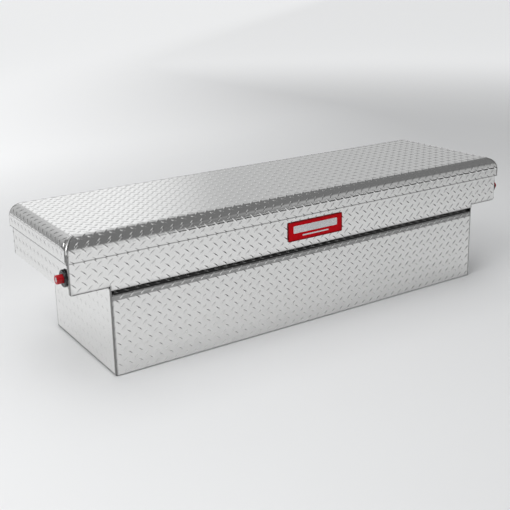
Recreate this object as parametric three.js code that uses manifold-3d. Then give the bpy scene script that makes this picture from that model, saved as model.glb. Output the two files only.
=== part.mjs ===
// A crossover truck tool box in aluminium diamond plate, in millimetres.
// +X runs along the box, -Y is its front and +Z is up. The origin is under the middle of the tub's floor.
import * as THREE from "three";
import { mergeVertices } from "three/addons/utils/BufferGeometryUtils.js";
import Module from "manifold-3d";

const wasm = await Module();
wasm.setup();

// Lid, outside
const lidLength = 1816;
const lidDepth = 514;
const boxHeight = 470;
const lidHeight = 75;
const lidBend = 44;

// Sheet metal
const sheet = 2;
const rimBend = 4;
const panelBend = 6;
const bendSteps = 4;
const lidBendSteps = 10;

// Body
const lidEndClearance = 4;
const lidFrontClearance = 4.5;
const lidRearClearance = 6.5;
const rimBelowTop = 30;
const rimFlange = 22;
const rimLip = 12;
const wingBelowRim = 148;
const wingFlange = 15;
const wingFlangeDrop = 24;
const wingFloorBend = 3;
const seamBelowWing = 12;
const seamFlange = 32;

// Tub, which ends short of the lid by the length of a wing
const wingLength = 133.5;
const tubSetBack = 1;
const shoulderBend = 19;
const tubFlange = 28;

// Weather seal on the rim
const sealInset = 8;
const sealWidth = 12;
const sealHeight = 9.7;
const sealRound = 3;
const sealCornerRadius = 16;

// Inner pan and stiffeners of the lid
const panDrop = 20;
const panSheet = 1.5;
const panMargin = 13;
const panLip = 4;
const stiffenerWidth = 60;
const stiffenerFlange = 18;
const stiffenerBend = 3;
const stiffenerSpacing = 560;
const stiffenerCount = 3;
const stiffenerLength = 400;

// Full-length hinge
const hingeLeafSheet = 1;
const hingeLeafDrop = 30;
const hingeLeafRise = 26;
const knuckleRadius = 3.5;
const knuckleBore = 1.5;
const hingePinRadius = 1.2;
const knuckleCount = 15;
const knuckleGap = 0.5;
const hingeEndInset = 13;
const hingeDrop = 0.5;
const hingeStandOff = 0.3;
const knuckleSides = 8;

// Name plate
const nameplateWidth = 234;
const nameplateHeight = 69;
const nameplateThickness = 1.6;
const nameplateCorner = 5;
const nameplateBelowRim = 95;

// Push-button lock
const lockSetBack = 32;
const lockBelowRim = 95;
const bezelRadius = 27;
const bezelDepth = 7;
const bezelLip = 1.6;
const bezelRound = 3;
const buttonRadius = 14;
const buttonReach = 20;
const buttonTravel = 6;
const buttonClearance = 0.4;
const buttonEdge = 1;
const buttonLength = 33;
const plungerRadius = 4.5;
const plungerLength = 34;
const housingRadius = 18;
const housingLength = 41;
const housingWall = 3;
const nutWidth = 48;
const nutThickness = 6;
const coreRadius = 7;
const coreLength = 24;
const coreRecess = 0.5;
const keySlotWidth = 1.4;
const keySlotHeight = 8;
const keySlotDepth = 4;
const buttonSpringRadius = 12;
const buttonSpringBore = 9;
const lockSides = 24;

// Latch behind each lock
const hookThickness = 5;
const hookPivotRise = 40;
const hookPivotInset = 44;
const hookHubRadius = 9;
const hookPivotRadius = 3;
const hookArmWidth = 6;
const hookFoot = 8;
const hookNoseRise = 34;
const hookNoseHeight = 6;
const hookNoseReach = 7;
const hookNoseGap = 0.5;
const rodArm = 16;
const rodBossRadius = 7;
const latchSheet = 2.5;
const latchGap = 6;
const latchReach = 51;
const latchBelowPivot = 11;
const latchAbovePivot = 41;
const latchFlange = 31;
const pivotHeadRadius = 6;
const pivotHeadDepth = 2.5;
const hookSpringRadius = 6.5;
const latchSides = 14;

// Striker on the lid
const strikerSheet = 2.5;
const strikerWidth = 18;
const strikerDrop = 44;
const strikerFoot = 26;
const strikerBar = 8;
const strikerWindowHeight = 18;
const strikerWindowWidth = 10;

// Release rod between the latches
const rodRadius = 3;
const rodHoleClearance = 0.7;
const rodStandOff = 0.5;
const rodEndReach = 8;
const rodJogStart = 58;
const rodJogEnd = 22;
const rodSides = 8;
const guideSpacing = 800;
const guideThickness = 3;
const guideHeight = 24;
const guideMargin = 8;

// Gas struts
const strutInset = 38;
const strutFootBehind = 42;
const strutFootBelow = 46;
const strutHeadBehind = 312;
const strutHeadAbove = 41;
const cylinderRadius = 9;
const cylinderWall = 1.5;
const cylinderStart = 16;
const cylinderLength = 178;
const cylinderNeckRadius = 5;
const glandLength = 8;
const strutRodRadius = 4;
const strutRodLength = 176;
const pistonLength = 6;
const eyeRadius = 7.5;
const eyeWidth = 10;
const studRadius = 3.5;
const studEnd = 1.5;
const strutBracketSheet = 2.5;
const strutBracketWidth = 40;
const strutBracketHeight = 44;
const lidBracketWidth = 34;
const lidBracketBelow = 14;
const lidBracketFoot = 24;
const openPivotGap = 0.5;
const strutSides = 12;

// One clearance between pieces that fit each other, and one overrun for cuts
const fit = 0.3;
const overrun = 5;

// Places worked out from the sizes above
const lidEnd = lidLength / 2;
const lidFront = -lidDepth / 2;
const lidRear = lidDepth / 2;
const skirtBottom = boxHeight - lidHeight;
const lidInside = boxHeight - sheet;
const bodyEnd = lidEnd - sheet - lidEndClearance;
const bodyInside = bodyEnd - sheet;
const bodyFront = lidFront + sheet + lidFrontClearance;
const bodyRear = lidRear - sheet - lidRearClearance;
const rimHeight = boxHeight - rimBelowTop;
const wingHeight = rimHeight - wingBelowRim;
const seamHeight = wingHeight - seamBelowWing;
const wingFloorTop = wingHeight + sheet;
const tubEnd = lidEnd - wingLength;
const tubInside = tubEnd - sheet;
const tubFront = bodyFront + tubSetBack;
const tubRear = bodyRear - tubSetBack;
const nameplateCentre = rimHeight - nameplateBelowRim;
const lockHeight = rimHeight - lockBelowRim;
const panHeight = boxHeight - panDrop;
const hingeY = bodyRear + knuckleRadius + hingeStandOff;
const hingeZ = skirtBottom - knuckleRadius - hingeDrop;
const hingeEnd = bodyEnd - hingeEndInset;
const lockY = bodyFront + lockSetBack;
const bezelFace = bodyEnd + bezelDepth;
const buttonFace = bezelFace + buttonReach;
const buttonBack = buttonFace - buttonLength;
const plungerTip = buttonBack - plungerLength;
const housingFace = bezelFace - bezelLip - fit;
const housingBack = housingFace - housingLength;
const housingBore = buttonRadius + buttonClearance;
const plungerBore = plungerRadius + buttonClearance;
const hookX = bodyEnd - hookPivotInset;
const hookZ = lockHeight + hookPivotRise;
const hookFront = lockY - hookThickness / 2;
const hookRear = lockY + hookThickness / 2;
const hookOuterFace = plungerTip - fit;
const hookInnerFace = hookOuterFace - hookArmWidth;
const noseTip = hookInnerFace - hookNoseReach;
const strikerFace = noseTip - hookNoseGap;
const rodY = hookFront - rodStandOff - rodRadius;
const rodHigh = hookZ + rodArm;
const rodLow = hookZ - rodArm;
const strutX = bodyEnd - strutInset;
const strutFoot = new THREE.Vector2(hingeY - strutFootBehind, hingeZ - strutFootBelow);
const strutHead = new THREE.Vector2(hingeY - strutHeadBehind, hingeZ + strutHeadAbove);
const strutLength = strutFoot.distanceTo(strutHead);
const strutAngle = strutHead.clone().sub(strutFoot).angle();

// Finishes
const plateMetal = { color: 0xc9cbca, roughness: 0.32, metalness: 1 };
const steel = { color: 0x8d9093, roughness: 0.4, metalness: 1 };
const zinc = { color: 0xb7b8b2, roughness: 0.35, metalness: 1 };
const blackMetal = { color: 0x17181a, roughness: 0.45, metalness: 0 };
const redPaint = { color: 0xa51722, roughness: 0.35, metalness: 0 };
const rubber = { color: 0x1b1b1c, roughness: 0.85, metalness: 0 };

const group = new THREE.Group();

// Puts a named mesh into a group.
function add(name, geometry, finish, parent = group) {
  const mesh = new THREE.Mesh(geometry, new THREE.MeshStandardMaterial(finish));
  mesh.name = name;
  parent.add(mesh);
  return mesh;
}

// A closed geometry as a solid that can be joined and cut.
function solid(geometry) {
  const bare = geometry.clone();
  bare.deleteAttribute("normal");
  bare.deleteAttribute("uv");
  const merged = mergeVertices(bare);
  const triVerts = new Uint32Array(merged.index.array);
  const vertProperties = new Float32Array(merged.attributes.position.array);
  return new wasm.Manifold(new wasm.Mesh({ numProp: 3, vertProperties, triVerts }));
}

// A solid back as a geometry with flat faces.
function geometryOf(made) {
  const mesh = made.getMesh();
  const indexed = new THREE.BufferGeometry();
  indexed.setAttribute("position", new THREE.BufferAttribute(new Float32Array(mesh.vertProperties), 3));
  indexed.setIndex(new THREE.BufferAttribute(new Uint32Array(mesh.triVerts), 1));
  const flat = indexed.toNonIndexed();
  flat.computeVertexNormals();
  return flat;
}

// The first geometry with the others joined to it.
function join(first, ...others) {
  return geometryOf(others.reduce((sum, next) => sum.add(solid(next)), solid(first)));
}

// The first geometry with the others cut out of it.
function cut(first, ...others) {
  return geometryOf(others.reduce((rest, next) => rest.subtract(solid(next)), solid(first)));
}

// What two geometries have in common.
function common(first, second) {
  return geometryOf(solid(first).intersect(solid(second)));
}

// A box between two corners.
function block([x0, y0, z0], [x1, y1, z1]) {
  const box = new THREE.BoxGeometry(x1 - x0, y1 - y0, z1 - z0);
  return box.translate((x0 + x1) / 2, (y0 + y1) / 2, (z0 + z1) / 2);
}

// The outline of a bent sheet. Its face follows the corners, each turned with its own radius,
// and the sheet's thickness lies to the left of that path.
function bentSheet(corners, radii, thickness) {
  const face = [];
  const back = [];
  const put = (point, left) => {
    face.push(point.clone());
    back.push(point.clone().addScaledVector(left, thickness));
  };
  const leftOf = (way) => new THREE.Vector2(-way.y, way.x);
  const centreless = new THREE.Vector2();
  const last = corners.length - 1;
  const ways = corners.slice(1).map((corner, i) => corner.clone().sub(corners[i]).normalize());
  put(corners[0], leftOf(ways[0]));
  corners.slice(1, last).forEach((corner, i) => {
    const coming = ways[i];
    const turn = Math.atan2(coming.cross(ways[i + 1]), coming.dot(ways[i + 1]));
    const side = Math.sign(turn);
    const reach = radii[i] * Math.tan(Math.abs(turn) / 2);
    const start = corner.clone().addScaledVector(coming, -reach);
    const centre = start.addScaledVector(leftOf(coming), side * radii[i]);
    for (let k = 0; k <= bendSteps; k += 1) {
      const left = leftOf(coming).rotateAround(centreless, (turn * k) / bendSteps);
      put(centre.clone().addScaledVector(left, -side * radii[i]), left);
    }
  });
  put(corners[last], leftOf(ways[last - 1]));
  return new THREE.Shape([...face, ...back.reverse()]);
}

// A shape drawn in Y and Z, run along X.
function alongX(shape, from, to, steps = bendSteps) {
  const settings = { depth: to - from, bevelEnabled: false, curveSegments: steps };
  const [alongY, alongZ] = [new THREE.Vector3(0, 1, 0), new THREE.Vector3(0, 0, 1)];
  const turned = new THREE.Matrix4().makeBasis(alongY, alongZ, new THREE.Vector3(1, 0, 0));
  return new THREE.ExtrudeGeometry(shape, settings).applyMatrix4(turned).translate(from, 0, 0);
}

// A shape drawn in X and Z, run along Y.
function alongY(shape, from, to, steps = bendSteps) {
  const settings = { depth: to - from, bevelEnabled: false, curveSegments: steps };
  return new THREE.ExtrudeGeometry(shape, settings).rotateX(Math.PI / 2).translate(0, to, 0);
}

// A profile of radii and places along X, turned about a line through Y and Z.
// A profile that stays off the line is closed.
function turnedAboutX(points, y, z, sides) {
  const profile = points.map(([radius, place]) => new THREE.Vector2(radius, place));
  if (points[0][0] > 0) profile.push(profile[0].clone());
  return new THREE.LatheGeometry(profile, sides).rotateZ(-Math.PI / 2).translate(0, y, z);
}

// A round bar along X or Y.
function barX(radius, from, to, y, z, sides) {
  return turnedAboutX([[0, from], [radius, from], [radius, to], [0, to]], y, z, sides);
}

function barY(radius, from, to, x, z, sides) {
  return new THREE.CylinderGeometry(radius, radius, to - from, sides).translate(x, (from + to) / 2, z);
}

// A round bar between two points.
function barBetween(from, to, radius, sides) {
  const way = to.clone().sub(from);
  const turn = new THREE.Quaternion().setFromUnitVectors(new THREE.Vector3(0, 1, 0), way.clone().normalize());
  const middle = from.clone().add(to).divideScalar(2);
  const bar = new THREE.CylinderGeometry(radius, radius, way.length(), sides).applyQuaternion(turn);
  return bar.translate(...middle.toArray());
}

// A rectangle with round corners, drawn into a shape or a path.
function roundedRectangle(outline, x0, y0, x1, y1, radius) {
  outline.absarc(x1 - radius, y0 + radius, radius, -Math.PI / 2, 0);
  outline.absarc(x1 - radius, y1 - radius, radius, 0, Math.PI / 2);
  outline.absarc(x0 + radius, y1 - radius, radius, Math.PI / 2, Math.PI);
  outline.absarc(x0 + radius, y0 + radius, radius, Math.PI, 1.5 * Math.PI);
  outline.closePath();
  return outline;
}

// The lid's outer form, or at an inset its inner form. The front and both ends roll over, the rear is square.
function lidForm(inset, bottom) {
  const radius = lidBend - inset;
  const top = boxHeight - inset;
  const [front, rear, end] = [lidFront + inset, lidRear - inset, lidEnd - inset];
  const side = new THREE.Shape();
  side.moveTo(front, bottom);
  side.lineTo(rear, bottom);
  side.lineTo(rear, top);
  side.absarc(front + radius, top - radius, radius, Math.PI / 2, Math.PI);
  side.closePath();
  const across = new THREE.Shape();
  across.moveTo(-end, bottom);
  across.lineTo(end, bottom);
  across.absarc(end - radius, top - radius, radius, 0, Math.PI / 2);
  across.absarc(radius - end, top - radius, radius, Math.PI / 2, Math.PI);
  across.closePath();
  return common(
    alongX(side, -end - overrun, end + overrun, lidBendSteps),
    alongY(across, front - overrun, rear + overrun, lidBendSteps),
  );
}

function lidSkin() {
  return cut(lidForm(0, skirtBottom), lidForm(sheet, skirtBottom - overrun));
}

// A shallow tray under the lid, its edges turned up.
function lidInnerPan() {
  const margin = sheet + panMargin;
  const [x, front, rear] = [lidEnd - margin, lidFront + margin, lidRear - margin];
  const outside = block([-x, front, panHeight], [x, rear, panHeight + panLip]);
  const hollowFrom = [panSheet - x, front + panSheet, panHeight + panSheet];
  const hollowTo = [x - panSheet, rear - panSheet, panHeight + panLip + overrun];
  return cut(outside, block(hollowFrom, hollowTo));
}

// A hat section between the pan and the lid's top.
function lidStiffener(centre) {
  const [low, high] = [panHeight + panSheet, lidInside - panSheet];
  const half = stiffenerWidth / 2;
  const foot = half + stiffenerFlange;
  const places = [[-foot, low], [-half, low], [-half, high], [half, high], [half, low], [foot, low]];
  const corners = places.map(([x, z]) => new THREE.Vector2(centre + x, z));
  const shape = bentSheet(corners, Array(corners.length - 2).fill(stiffenerBend), panSheet);
  return alongY(shape, -stiffenerLength / 2, stiffenerLength / 2);
}

// The front panel of the saddle, or its rear panel, with the rim at the top and a flange at the bottom,
// which is lower over the tub than over the wings.
function saddlePanel(isFront) {
  const face = isFront ? bodyFront : bodyRear;
  const inward = isFront ? 1 : -1;
  const profile = (bottom, flange) => {
    const places = [
      [rimFlange, rimHeight - rimLip],
      [rimFlange, rimHeight],
      [0, rimHeight],
      [0, bottom],
      [flange, bottom],
    ];
    const corners = places.map(([y, z]) => new THREE.Vector2(face + inward * y, z));
    const radii = [rimBend, rimBend, panelBend];
    return isFront ? bentSheet(corners, radii, sheet) : bentSheet(corners.reverse(), radii.reverse(), sheet);
  };
  return join(
    alongX(profile(seamHeight, seamFlange), -tubInside, tubInside),
    alongX(profile(wingFloorTop, wingFlange), tubInside, bodyInside),
    alongX(profile(wingFloorTop, wingFlange), -bodyInside, -tubInside),
  );
}

// The right end panel of the saddle, with a hole for the lock.
function saddleEnd() {
  const rimInside = bodyEnd - rimFlange;
  const footInside = bodyEnd - wingFlange;
  const [rimFront, rimRear] = [bodyFront + rimFlange + fit, bodyRear - rimFlange - fit];
  const [footFront, footRear] = [bodyFront + wingFlange + fit, bodyRear - wingFlange - fit];
  const panel = join(
    block([bodyInside, bodyFront, wingFloorTop], [bodyEnd, bodyRear, rimHeight]),
    block([rimInside, rimFront, rimHeight - sheet], [bodyEnd, rimRear, rimHeight]),
    block([rimInside, rimFront, rimHeight - rimLip], [rimInside + sheet, rimRear, rimHeight]),
    block([footInside, footFront, wingFloorTop], [bodyEnd, footRear, wingFloorTop + sheet]),
  );
  const [from, to] = [bodyInside - overrun, bodyEnd + overrun];
  return cut(panel, barX(housingRadius + fit, from, to, lockY, lockHeight, lockSides));
}

// The floor of the right wing, turned down inside the tub's end and notched for the seam's flanges.
function wingFloor() {
  const inner = tubInside - fit;
  const corners = [
    new THREE.Vector2(inner, wingHeight - wingFlangeDrop),
    new THREE.Vector2(inner, wingHeight),
    new THREE.Vector2(bodyEnd - panelBend, wingHeight),
  ];
  const [front, rear] = [bodyFront + panelBend, bodyRear - panelBend];
  const floor = alongY(bentSheet(corners, [wingFloorBend], sheet), front, rear);
  const notch = (from, to) => block(
    [inner - sheet - overrun, from, wingHeight - wingFlangeDrop - overrun],
    [tubInside, to, seamHeight + sheet + fit],
  );
  const reach = seamFlange + fit;
  return cut(floor, notch(front - overrun, bodyFront + reach), notch(bodyRear - reach, rear + overrun));
}

// One sheet makes the tub's front, floor and rear. Each top edge rolls inwards under the saddle.
function tubShell() {
  const places = [
    [tubFront + tubFlange, seamHeight],
    [tubFront, seamHeight],
    [tubFront, 0],
    [tubRear, 0],
    [tubRear, seamHeight],
    [tubRear - tubFlange, seamHeight],
  ];
  const corners = places.map(([y, z]) => new THREE.Vector2(y, z));
  const radii = [shoulderBend, panelBend, panelBend, shoulderBend];
  return alongX(bentSheet(corners, radii, sheet), -tubInside, tubInside);
}

// The plate welded on the tub's right end. Its top edge stays under the bend of the wing's floor.
function tubEndPlate() {
  const top = wingHeight - wingFloorBend;
  const outline = new THREE.Shape();
  outline.moveTo(tubRear, top);
  outline.lineTo(tubFront, top);
  outline.absarc(tubFront + panelBend, panelBend, panelBend, Math.PI, 1.5 * Math.PI);
  outline.absarc(tubRear - panelBend, panelBend, panelBend, -Math.PI / 2, 0);
  outline.closePath();
  return alongX(outline, tubInside, tubEnd);
}

function weatherSeal() {
  const [x, front, rear] = [bodyEnd - sealInset, bodyFront + sealInset, bodyRear - sealInset];
  const ring = roundedRectangle(new THREE.Shape(), -x, front, x, rear, sealCornerRadius);
  const inside = roundedRectangle(
    new THREE.Path(),
    sealWidth - x,
    front + sealWidth,
    x - sealWidth,
    rear - sealWidth,
    sealCornerRadius - sealWidth,
  );
  ring.holes.push(inside);
  const bulb = new THREE.ExtrudeGeometry(ring, {
    depth: sealHeight - 2 * sealRound,
    bevelThickness: sealRound,
    bevelSize: sealRound,
    bevelOffset: -sealRound,
    bevelSegments: 2,
    curveSegments: bendSteps,
  });
  return bulb.translate(0, 0, rimHeight + sealRound);
}

// One leaf of the hinge with every second knuckle, counted from the first one given.
function hingeLeaf(leaf, firstKnuckle, tab) {
  const pitch = (2 * hingeEnd) / knuckleCount;
  const pieces = [leaf];
  for (let i = firstKnuckle; i < knuckleCount; i += 2) {
    const from = i * pitch - hingeEnd + knuckleGap / 2;
    const to = from + pitch - knuckleGap;
    pieces.push(barX(knuckleRadius, from, to, hingeY, hingeZ, knuckleSides));
    pieces.push(block([from, tab[0], tab[1]], [to, tab[2], tab[3]]));
  }
  const bore = barX(knuckleBore, -hingeEnd - overrun, hingeEnd + overrun, hingeY, hingeZ, knuckleSides);
  return cut(join(...pieces), bore);
}

function hingeBodyLeaf() {
  const [inner, outer] = [bodyRear, bodyRear + hingeLeafSheet];
  const top = hingeZ - knuckleRadius - knuckleGap;
  const leaf = block([-hingeEnd, inner, hingeZ - hingeLeafDrop], [hingeEnd, outer, top]);
  return hingeLeaf(leaf, 0, [inner, top - hingeLeafSheet, outer, hingeZ]);
}

function hingeLidLeaf() {
  const [inner, outer] = [lidRear - sheet - hingeLeafSheet, lidRear - sheet];
  const bottom = hingeZ + knuckleRadius + knuckleGap;
  const leaf = block([-hingeEnd, inner, bottom], [hingeEnd, outer, hingeZ + hingeLeafRise]);
  return hingeLeaf(leaf, 1, [inner, hingeZ, outer, bottom + hingeLeafSheet]);
}

function namePlate() {
  const [x, z] = [nameplateWidth / 2, nameplateHeight / 2];
  const [low, high] = [nameplateCentre - z, nameplateCentre + z];
  const outline = roundedRectangle(new THREE.Shape(), -x, low, x, high, nameplateCorner);
  return alongY(outline, bodyFront - nameplateThickness, bodyFront);
}

function lockBezel() {
  const inside = housingRadius + fit;
  const profile = [
    [inside, bodyEnd],
    [bezelRadius, bodyEnd],
    [bezelRadius, bezelFace - bezelRound],
    [bezelRadius - bezelRound, bezelFace],
    [housingBore, bezelFace],
    [housingBore, bezelFace - bezelLip],
    [inside, bezelFace - bezelLip],
  ];
  return turnedAboutX(profile, lockY, lockHeight, lockSides);
}

// A cup for the button, open to the outside, with a small hole for the plunger.
function lockHousing() {
  const profile = [
    [plungerBore, housingBack],
    [housingRadius, housingBack],
    [housingRadius, housingFace],
    [housingBore, housingFace],
    [housingBore, housingBack + housingWall],
    [plungerBore, housingBack + housingWall],
  ];
  return turnedAboutX(profile, lockY, lockHeight, lockSides);
}

function lockNut() {
  const hexagon = barX(nutWidth / Math.sqrt(3), bodyInside - nutThickness, bodyInside, lockY, lockHeight, 6);
  const from = bodyInside - nutThickness - overrun;
  return cut(hexagon, barX(housingRadius + fit, from, bodyInside + overrun, lockY, lockHeight, lockSides));
}

function lockButton(tip) {
  const coreBore = coreRadius + fit;
  const profile = [
    [0, tip],
    [plungerRadius, tip],
    [plungerRadius, buttonBack],
    [buttonRadius, buttonBack],
    [buttonRadius, buttonFace - buttonEdge],
    [buttonRadius - buttonEdge, buttonFace],
    [coreBore, buttonFace],
    [coreBore, buttonFace - coreRecess - coreLength - fit],
    [0, buttonFace - coreRecess - coreLength - fit],
  ];
  return turnedAboutX(profile, lockY, lockHeight, lockSides);
}

function keyCore() {
  const face = buttonFace - coreRecess;
  const core = barX(coreRadius, face - coreLength, face, lockY, lockHeight, latchSides);
  const [y, z] = [keySlotWidth / 2, keySlotHeight / 2];
  const slotFrom = [face - keySlotDepth, lockY - y, lockHeight - z];
  return cut(core, block(slotFrom, [face + overrun, lockY + y, lockHeight + z]));
}

function buttonSpring() {
  const [from, to] = [housingBack + housingWall + fit, buttonBack - fit];
  const profile = [
    [buttonSpringBore, from],
    [buttonSpringRadius, from],
    [buttonSpringRadius, to],
    [buttonSpringBore, to],
  ];
  return turnedAboutX(profile, lockY, lockHeight, latchSides);
}

// A plate folded into an angle: one leg on the end panel, the other behind the hook.
function latchBracket() {
  const webFront = hookRear + latchGap;
  const webRear = webFront + latchSheet;
  const [low, high] = [hookZ - latchBelowPivot, hookZ + latchAbovePivot];
  const angle = join(
    block([bodyInside - latchSheet, webRear - latchFlange, low], [bodyInside, webRear, high]),
    block([bodyEnd - latchReach, webFront, low], [bodyInside, webRear, high]),
  );
  const [from, to] = [webFront - overrun, webRear + overrun];
  return cut(angle, barY(hookPivotRadius + fit, from, to, hookX, hookZ, latchSides));
}

// The hook turns about its pivot: the plunger pushes its foot, and its nose reaches for the striker.
function latchHook() {
  const nose = hookZ + hookNoseRise;
  const disc = (radius, z) => barY(radius, hookFront, hookRear, hookX, z, latchSides);
  const bar = (from, to) => block([from[0], hookFront, from[1]], [to[0], hookRear, to[1]]);
  const body = join(
    disc(hookHubRadius, hookZ),
    disc(rodBossRadius, rodHigh),
    disc(rodBossRadius, rodLow),
    bar([hookInnerFace, lockHeight - hookFoot], [hookOuterFace, nose + hookNoseHeight]),
    bar([noseTip, nose], [hookOuterFace, nose + hookNoseHeight]),
  );
  const hole = (radius, z) => barY(radius, hookFront - overrun, hookRear + overrun, hookX, z, latchSides);
  const rodHole = rodRadius + rodHoleClearance;
  return cut(body, hole(hookPivotRadius + fit, hookZ), hole(rodHole, rodHigh), hole(rodHole, rodLow));
}

function latchPivot() {
  const headRear = hookFront - fit;
  const headFront = headRear - pivotHeadDepth;
  const end = hookRear + latchGap + latchSheet;
  return join(
    barY(pivotHeadRadius, headFront, headRear, hookX, hookZ, latchSides),
    barY(hookPivotRadius, headFront, end, hookX, hookZ, latchSides),
  );
}

function hookSpring() {
  const [from, to] = [hookRear + fit, hookRear + latchGap - fit];
  const coil = barY(hookSpringRadius, from, to, hookX, hookZ, latchSides);
  return cut(coil, barY(hookPivotRadius + fit, from - overrun, to + overrun, hookX, hookZ, latchSides));
}

// A plate folded under the lid's pan, with a window that the hook's nose enters.
function striker() {
  const inner = strikerFace - strikerSheet;
  const bottom = panHeight - strikerDrop;
  const [front, rear] = [lockY - strikerWidth / 2, lockY + strikerWidth / 2];
  const plate = join(
    block([inner, front, bottom], [strikerFace, rear, panHeight]),
    block([strikerFace - strikerFoot, front, panHeight - strikerSheet], [strikerFace, rear, panHeight]),
  );
  const sill = bottom + strikerBar;
  const windowFrom = [inner - overrun, lockY - strikerWindowWidth / 2, sill];
  const windowTo = [strikerFace + overrun, lockY + strikerWindowWidth / 2, sill + strikerWindowHeight];
  return cut(plate, block(windowFrom, windowTo));
}

// A bent rod. Its left end sits in the left hook's upper hole, its right end in the right hook's lower one.
function releaseRod() {
  const pin = hookFront + rodEndReach;
  const places = [
    [-hookX, pin, rodHigh],
    [-hookX, rodY, rodHigh],
    [hookX - rodJogStart, rodY, rodHigh],
    [hookX - rodJogEnd, rodY, rodLow],
    [hookX, rodY, rodLow],
    [hookX, pin, rodLow],
  ];
  const points = places.map((place) => new THREE.Vector3(...place));
  const bars = points.slice(1).map((point, i) => barBetween(points[i], point, rodRadius, rodSides));
  const bends = points.slice(1, -1).map((point) => {
    const ball = new THREE.SphereGeometry(rodRadius, rodSides, rodSides / 2);
    return ball.translate(...point.toArray());
  });
  return join(...bars, ...bends);
}

// A clip on the front panel that carries the rod.
function rodGuide(x) {
  const from = [x - guideThickness / 2, bodyFront + sheet, rodHigh - guideHeight / 2];
  const to = [x + guideThickness / 2, rodY + guideMargin, rodHigh + guideHeight / 2];
  const hole = barX(rodRadius + fit, from[0] - overrun, to[0] + overrun, rodY, rodHigh, rodSides);
  return cut(block(from, to), hole);
}

// A plate on the end panel with a stud for the strut's foot.
function strutBracket() {
  const face = bodyInside - strutBracketSheet;
  const [y, z] = [strutBracketWidth / 2, strutBracketHeight / 2];
  const from = [face, strutFoot.x - y, strutFoot.y - z];
  const stud = strutX - eyeWidth / 2 - studEnd;
  return join(
    block(from, [bodyInside, strutFoot.x + y, strutFoot.y + z]),
    barX(studRadius, stud, face + strutBracketSheet / 2, strutFoot.x, strutFoot.y, strutSides),
  );
}

// A plate folded under the lid's pan, beside the strut's head.
function strutLidBracket() {
  const outer = strutX - eyeWidth / 2 - studRadius - openPivotGap;
  const half = lidBracketWidth / 2;
  const [front, rear] = [strutHead.x - half, strutHead.x + half];
  return join(
    block([outer - strutBracketSheet, front, strutHead.y - lidBracketBelow], [outer, rear, panHeight]),
    block([outer - lidBracketFoot, front, panHeight - strutBracketSheet], [outer, rear, panHeight]),
  );
}

// An eye of the strut, round a line along X.
function eye(along) {
  return barX(eyeRadius, -eyeWidth / 2, eyeWidth / 2, along, 0, strutSides);
}

// A profile of radii and places along the strut, which runs along its own Y.
function turnedStrut(points) {
  const profile = points.map(([radius, place]) => new THREE.Vector2(radius, place));
  return new THREE.LatheGeometry(profile, strutSides);
}

function strutCylinder() {
  const [from, to] = [cylinderStart, cylinderStart + cylinderLength];
  const bore = cylinderRadius - cylinderWall;
  const gland = strutRodRadius + fit;
  const barrel = turnedStrut([
    [0, from],
    [cylinderRadius, from],
    [cylinderRadius, to],
    [gland, to],
    [gland, to - glandLength],
    [bore, to - glandLength],
    [bore, from + cylinderWall],
    [0, from + cylinderWall],
  ]);
  const neck = turnedStrut([
    [0, studRadius],
    [cylinderNeckRadius, studRadius],
    [cylinderNeckRadius, from],
    [0, from],
  ]);
  const hole = barX(studRadius + fit, -eyeWidth, eyeWidth, 0, 0, strutSides);
  return cut(join(eye(0), neck, barrel), hole);
}

function strutRod() {
  const inner = strutLength - strutRodLength;
  const piston = cylinderRadius - cylinderWall - fit;
  const rod = turnedStrut([
    [0, inner],
    [piston, inner],
    [piston, inner + pistonLength],
    [strutRodRadius, inner + pistonLength],
    [strutRodRadius, strutLength],
    [0, strutLength],
  ]);
  const stud = barX(studRadius, -eyeWidth / 2 - studRadius, 0, strutLength, 0, strutSides);
  return join(rod, eye(strutLength), stud);
}

add("lid_skin", lidSkin(), plateMetal);
add("lid_inner_pan", lidInnerPan(), plateMetal);
for (let i = 0; i < stiffenerCount; i += 1) {
  const centre = (i - (stiffenerCount - 1) / 2) * stiffenerSpacing;
  add(`lid_stiffener_${i + 1}`, lidStiffener(centre), plateMetal);
}
add("saddle_front_panel", saddlePanel(true), plateMetal);
add("saddle_rear_panel", saddlePanel(false), plateMetal);
add("tub_shell", tubShell(), plateMetal);
add("weather_seal", weatherSeal(), rubber);
add("hinge_body_leaf", hingeBodyLeaf(), steel);
add("hinge_lid_leaf", hingeLidLeaf(), steel);
add("hinge_pin", barX(hingePinRadius, -hingeEnd, hingeEnd, hingeY, hingeZ, knuckleSides), steel);
add("name_plate", namePlate(), redPaint);
add("release_rod", releaseRod(), zinc);

// The two ends are mirror images. Only the right plunger differs: it is shorter by its travel.
for (const [end, direction] of [["left", -1], ["right", 1]]) {
  const half = new THREE.Group();
  half.scale.x = direction;
  group.add(half);
  const put = (name, geometry, finish, parent = half) => add(`${name}_${end}`, geometry, finish, parent);
  put("saddle_end", saddleEnd(), plateMetal);
  put("wing_floor", wingFloor(), plateMetal);
  put("tub_end", tubEndPlate(), plateMetal);
  put("lock_bezel", lockBezel(), blackMetal);
  put("lock_housing", lockHousing(), zinc);
  put("lock_nut", lockNut(), zinc);
  put("lock_button", lockButton(direction < 0 ? plungerTip : plungerTip + buttonTravel + fit), redPaint);
  put("lock_spring", buttonSpring(), steel);
  put("key_core", keyCore(), zinc);
  put("latch_bracket", latchBracket(), zinc);
  put("latch_hook", latchHook(), zinc);
  put("latch_pivot", latchPivot(), steel);
  put("latch_spring", hookSpring(), steel);
  put("striker", striker(), zinc);
  put("rod_guide", rodGuide(guideSpacing / 2), zinc);
  put("strut_bracket", strutBracket(), zinc);
  put("strut_lid_bracket", strutLidBracket(), zinc);
  const strut = new THREE.Group();
  strut.position.set(strutX, strutFoot.x, strutFoot.y);
  strut.rotation.x = strutAngle;
  half.add(strut);
  put("strut_cylinder", strutCylinder(), blackMetal, strut);
  put("strut_rod", strutRod(), steel, strut);
}

export default group;
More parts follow.
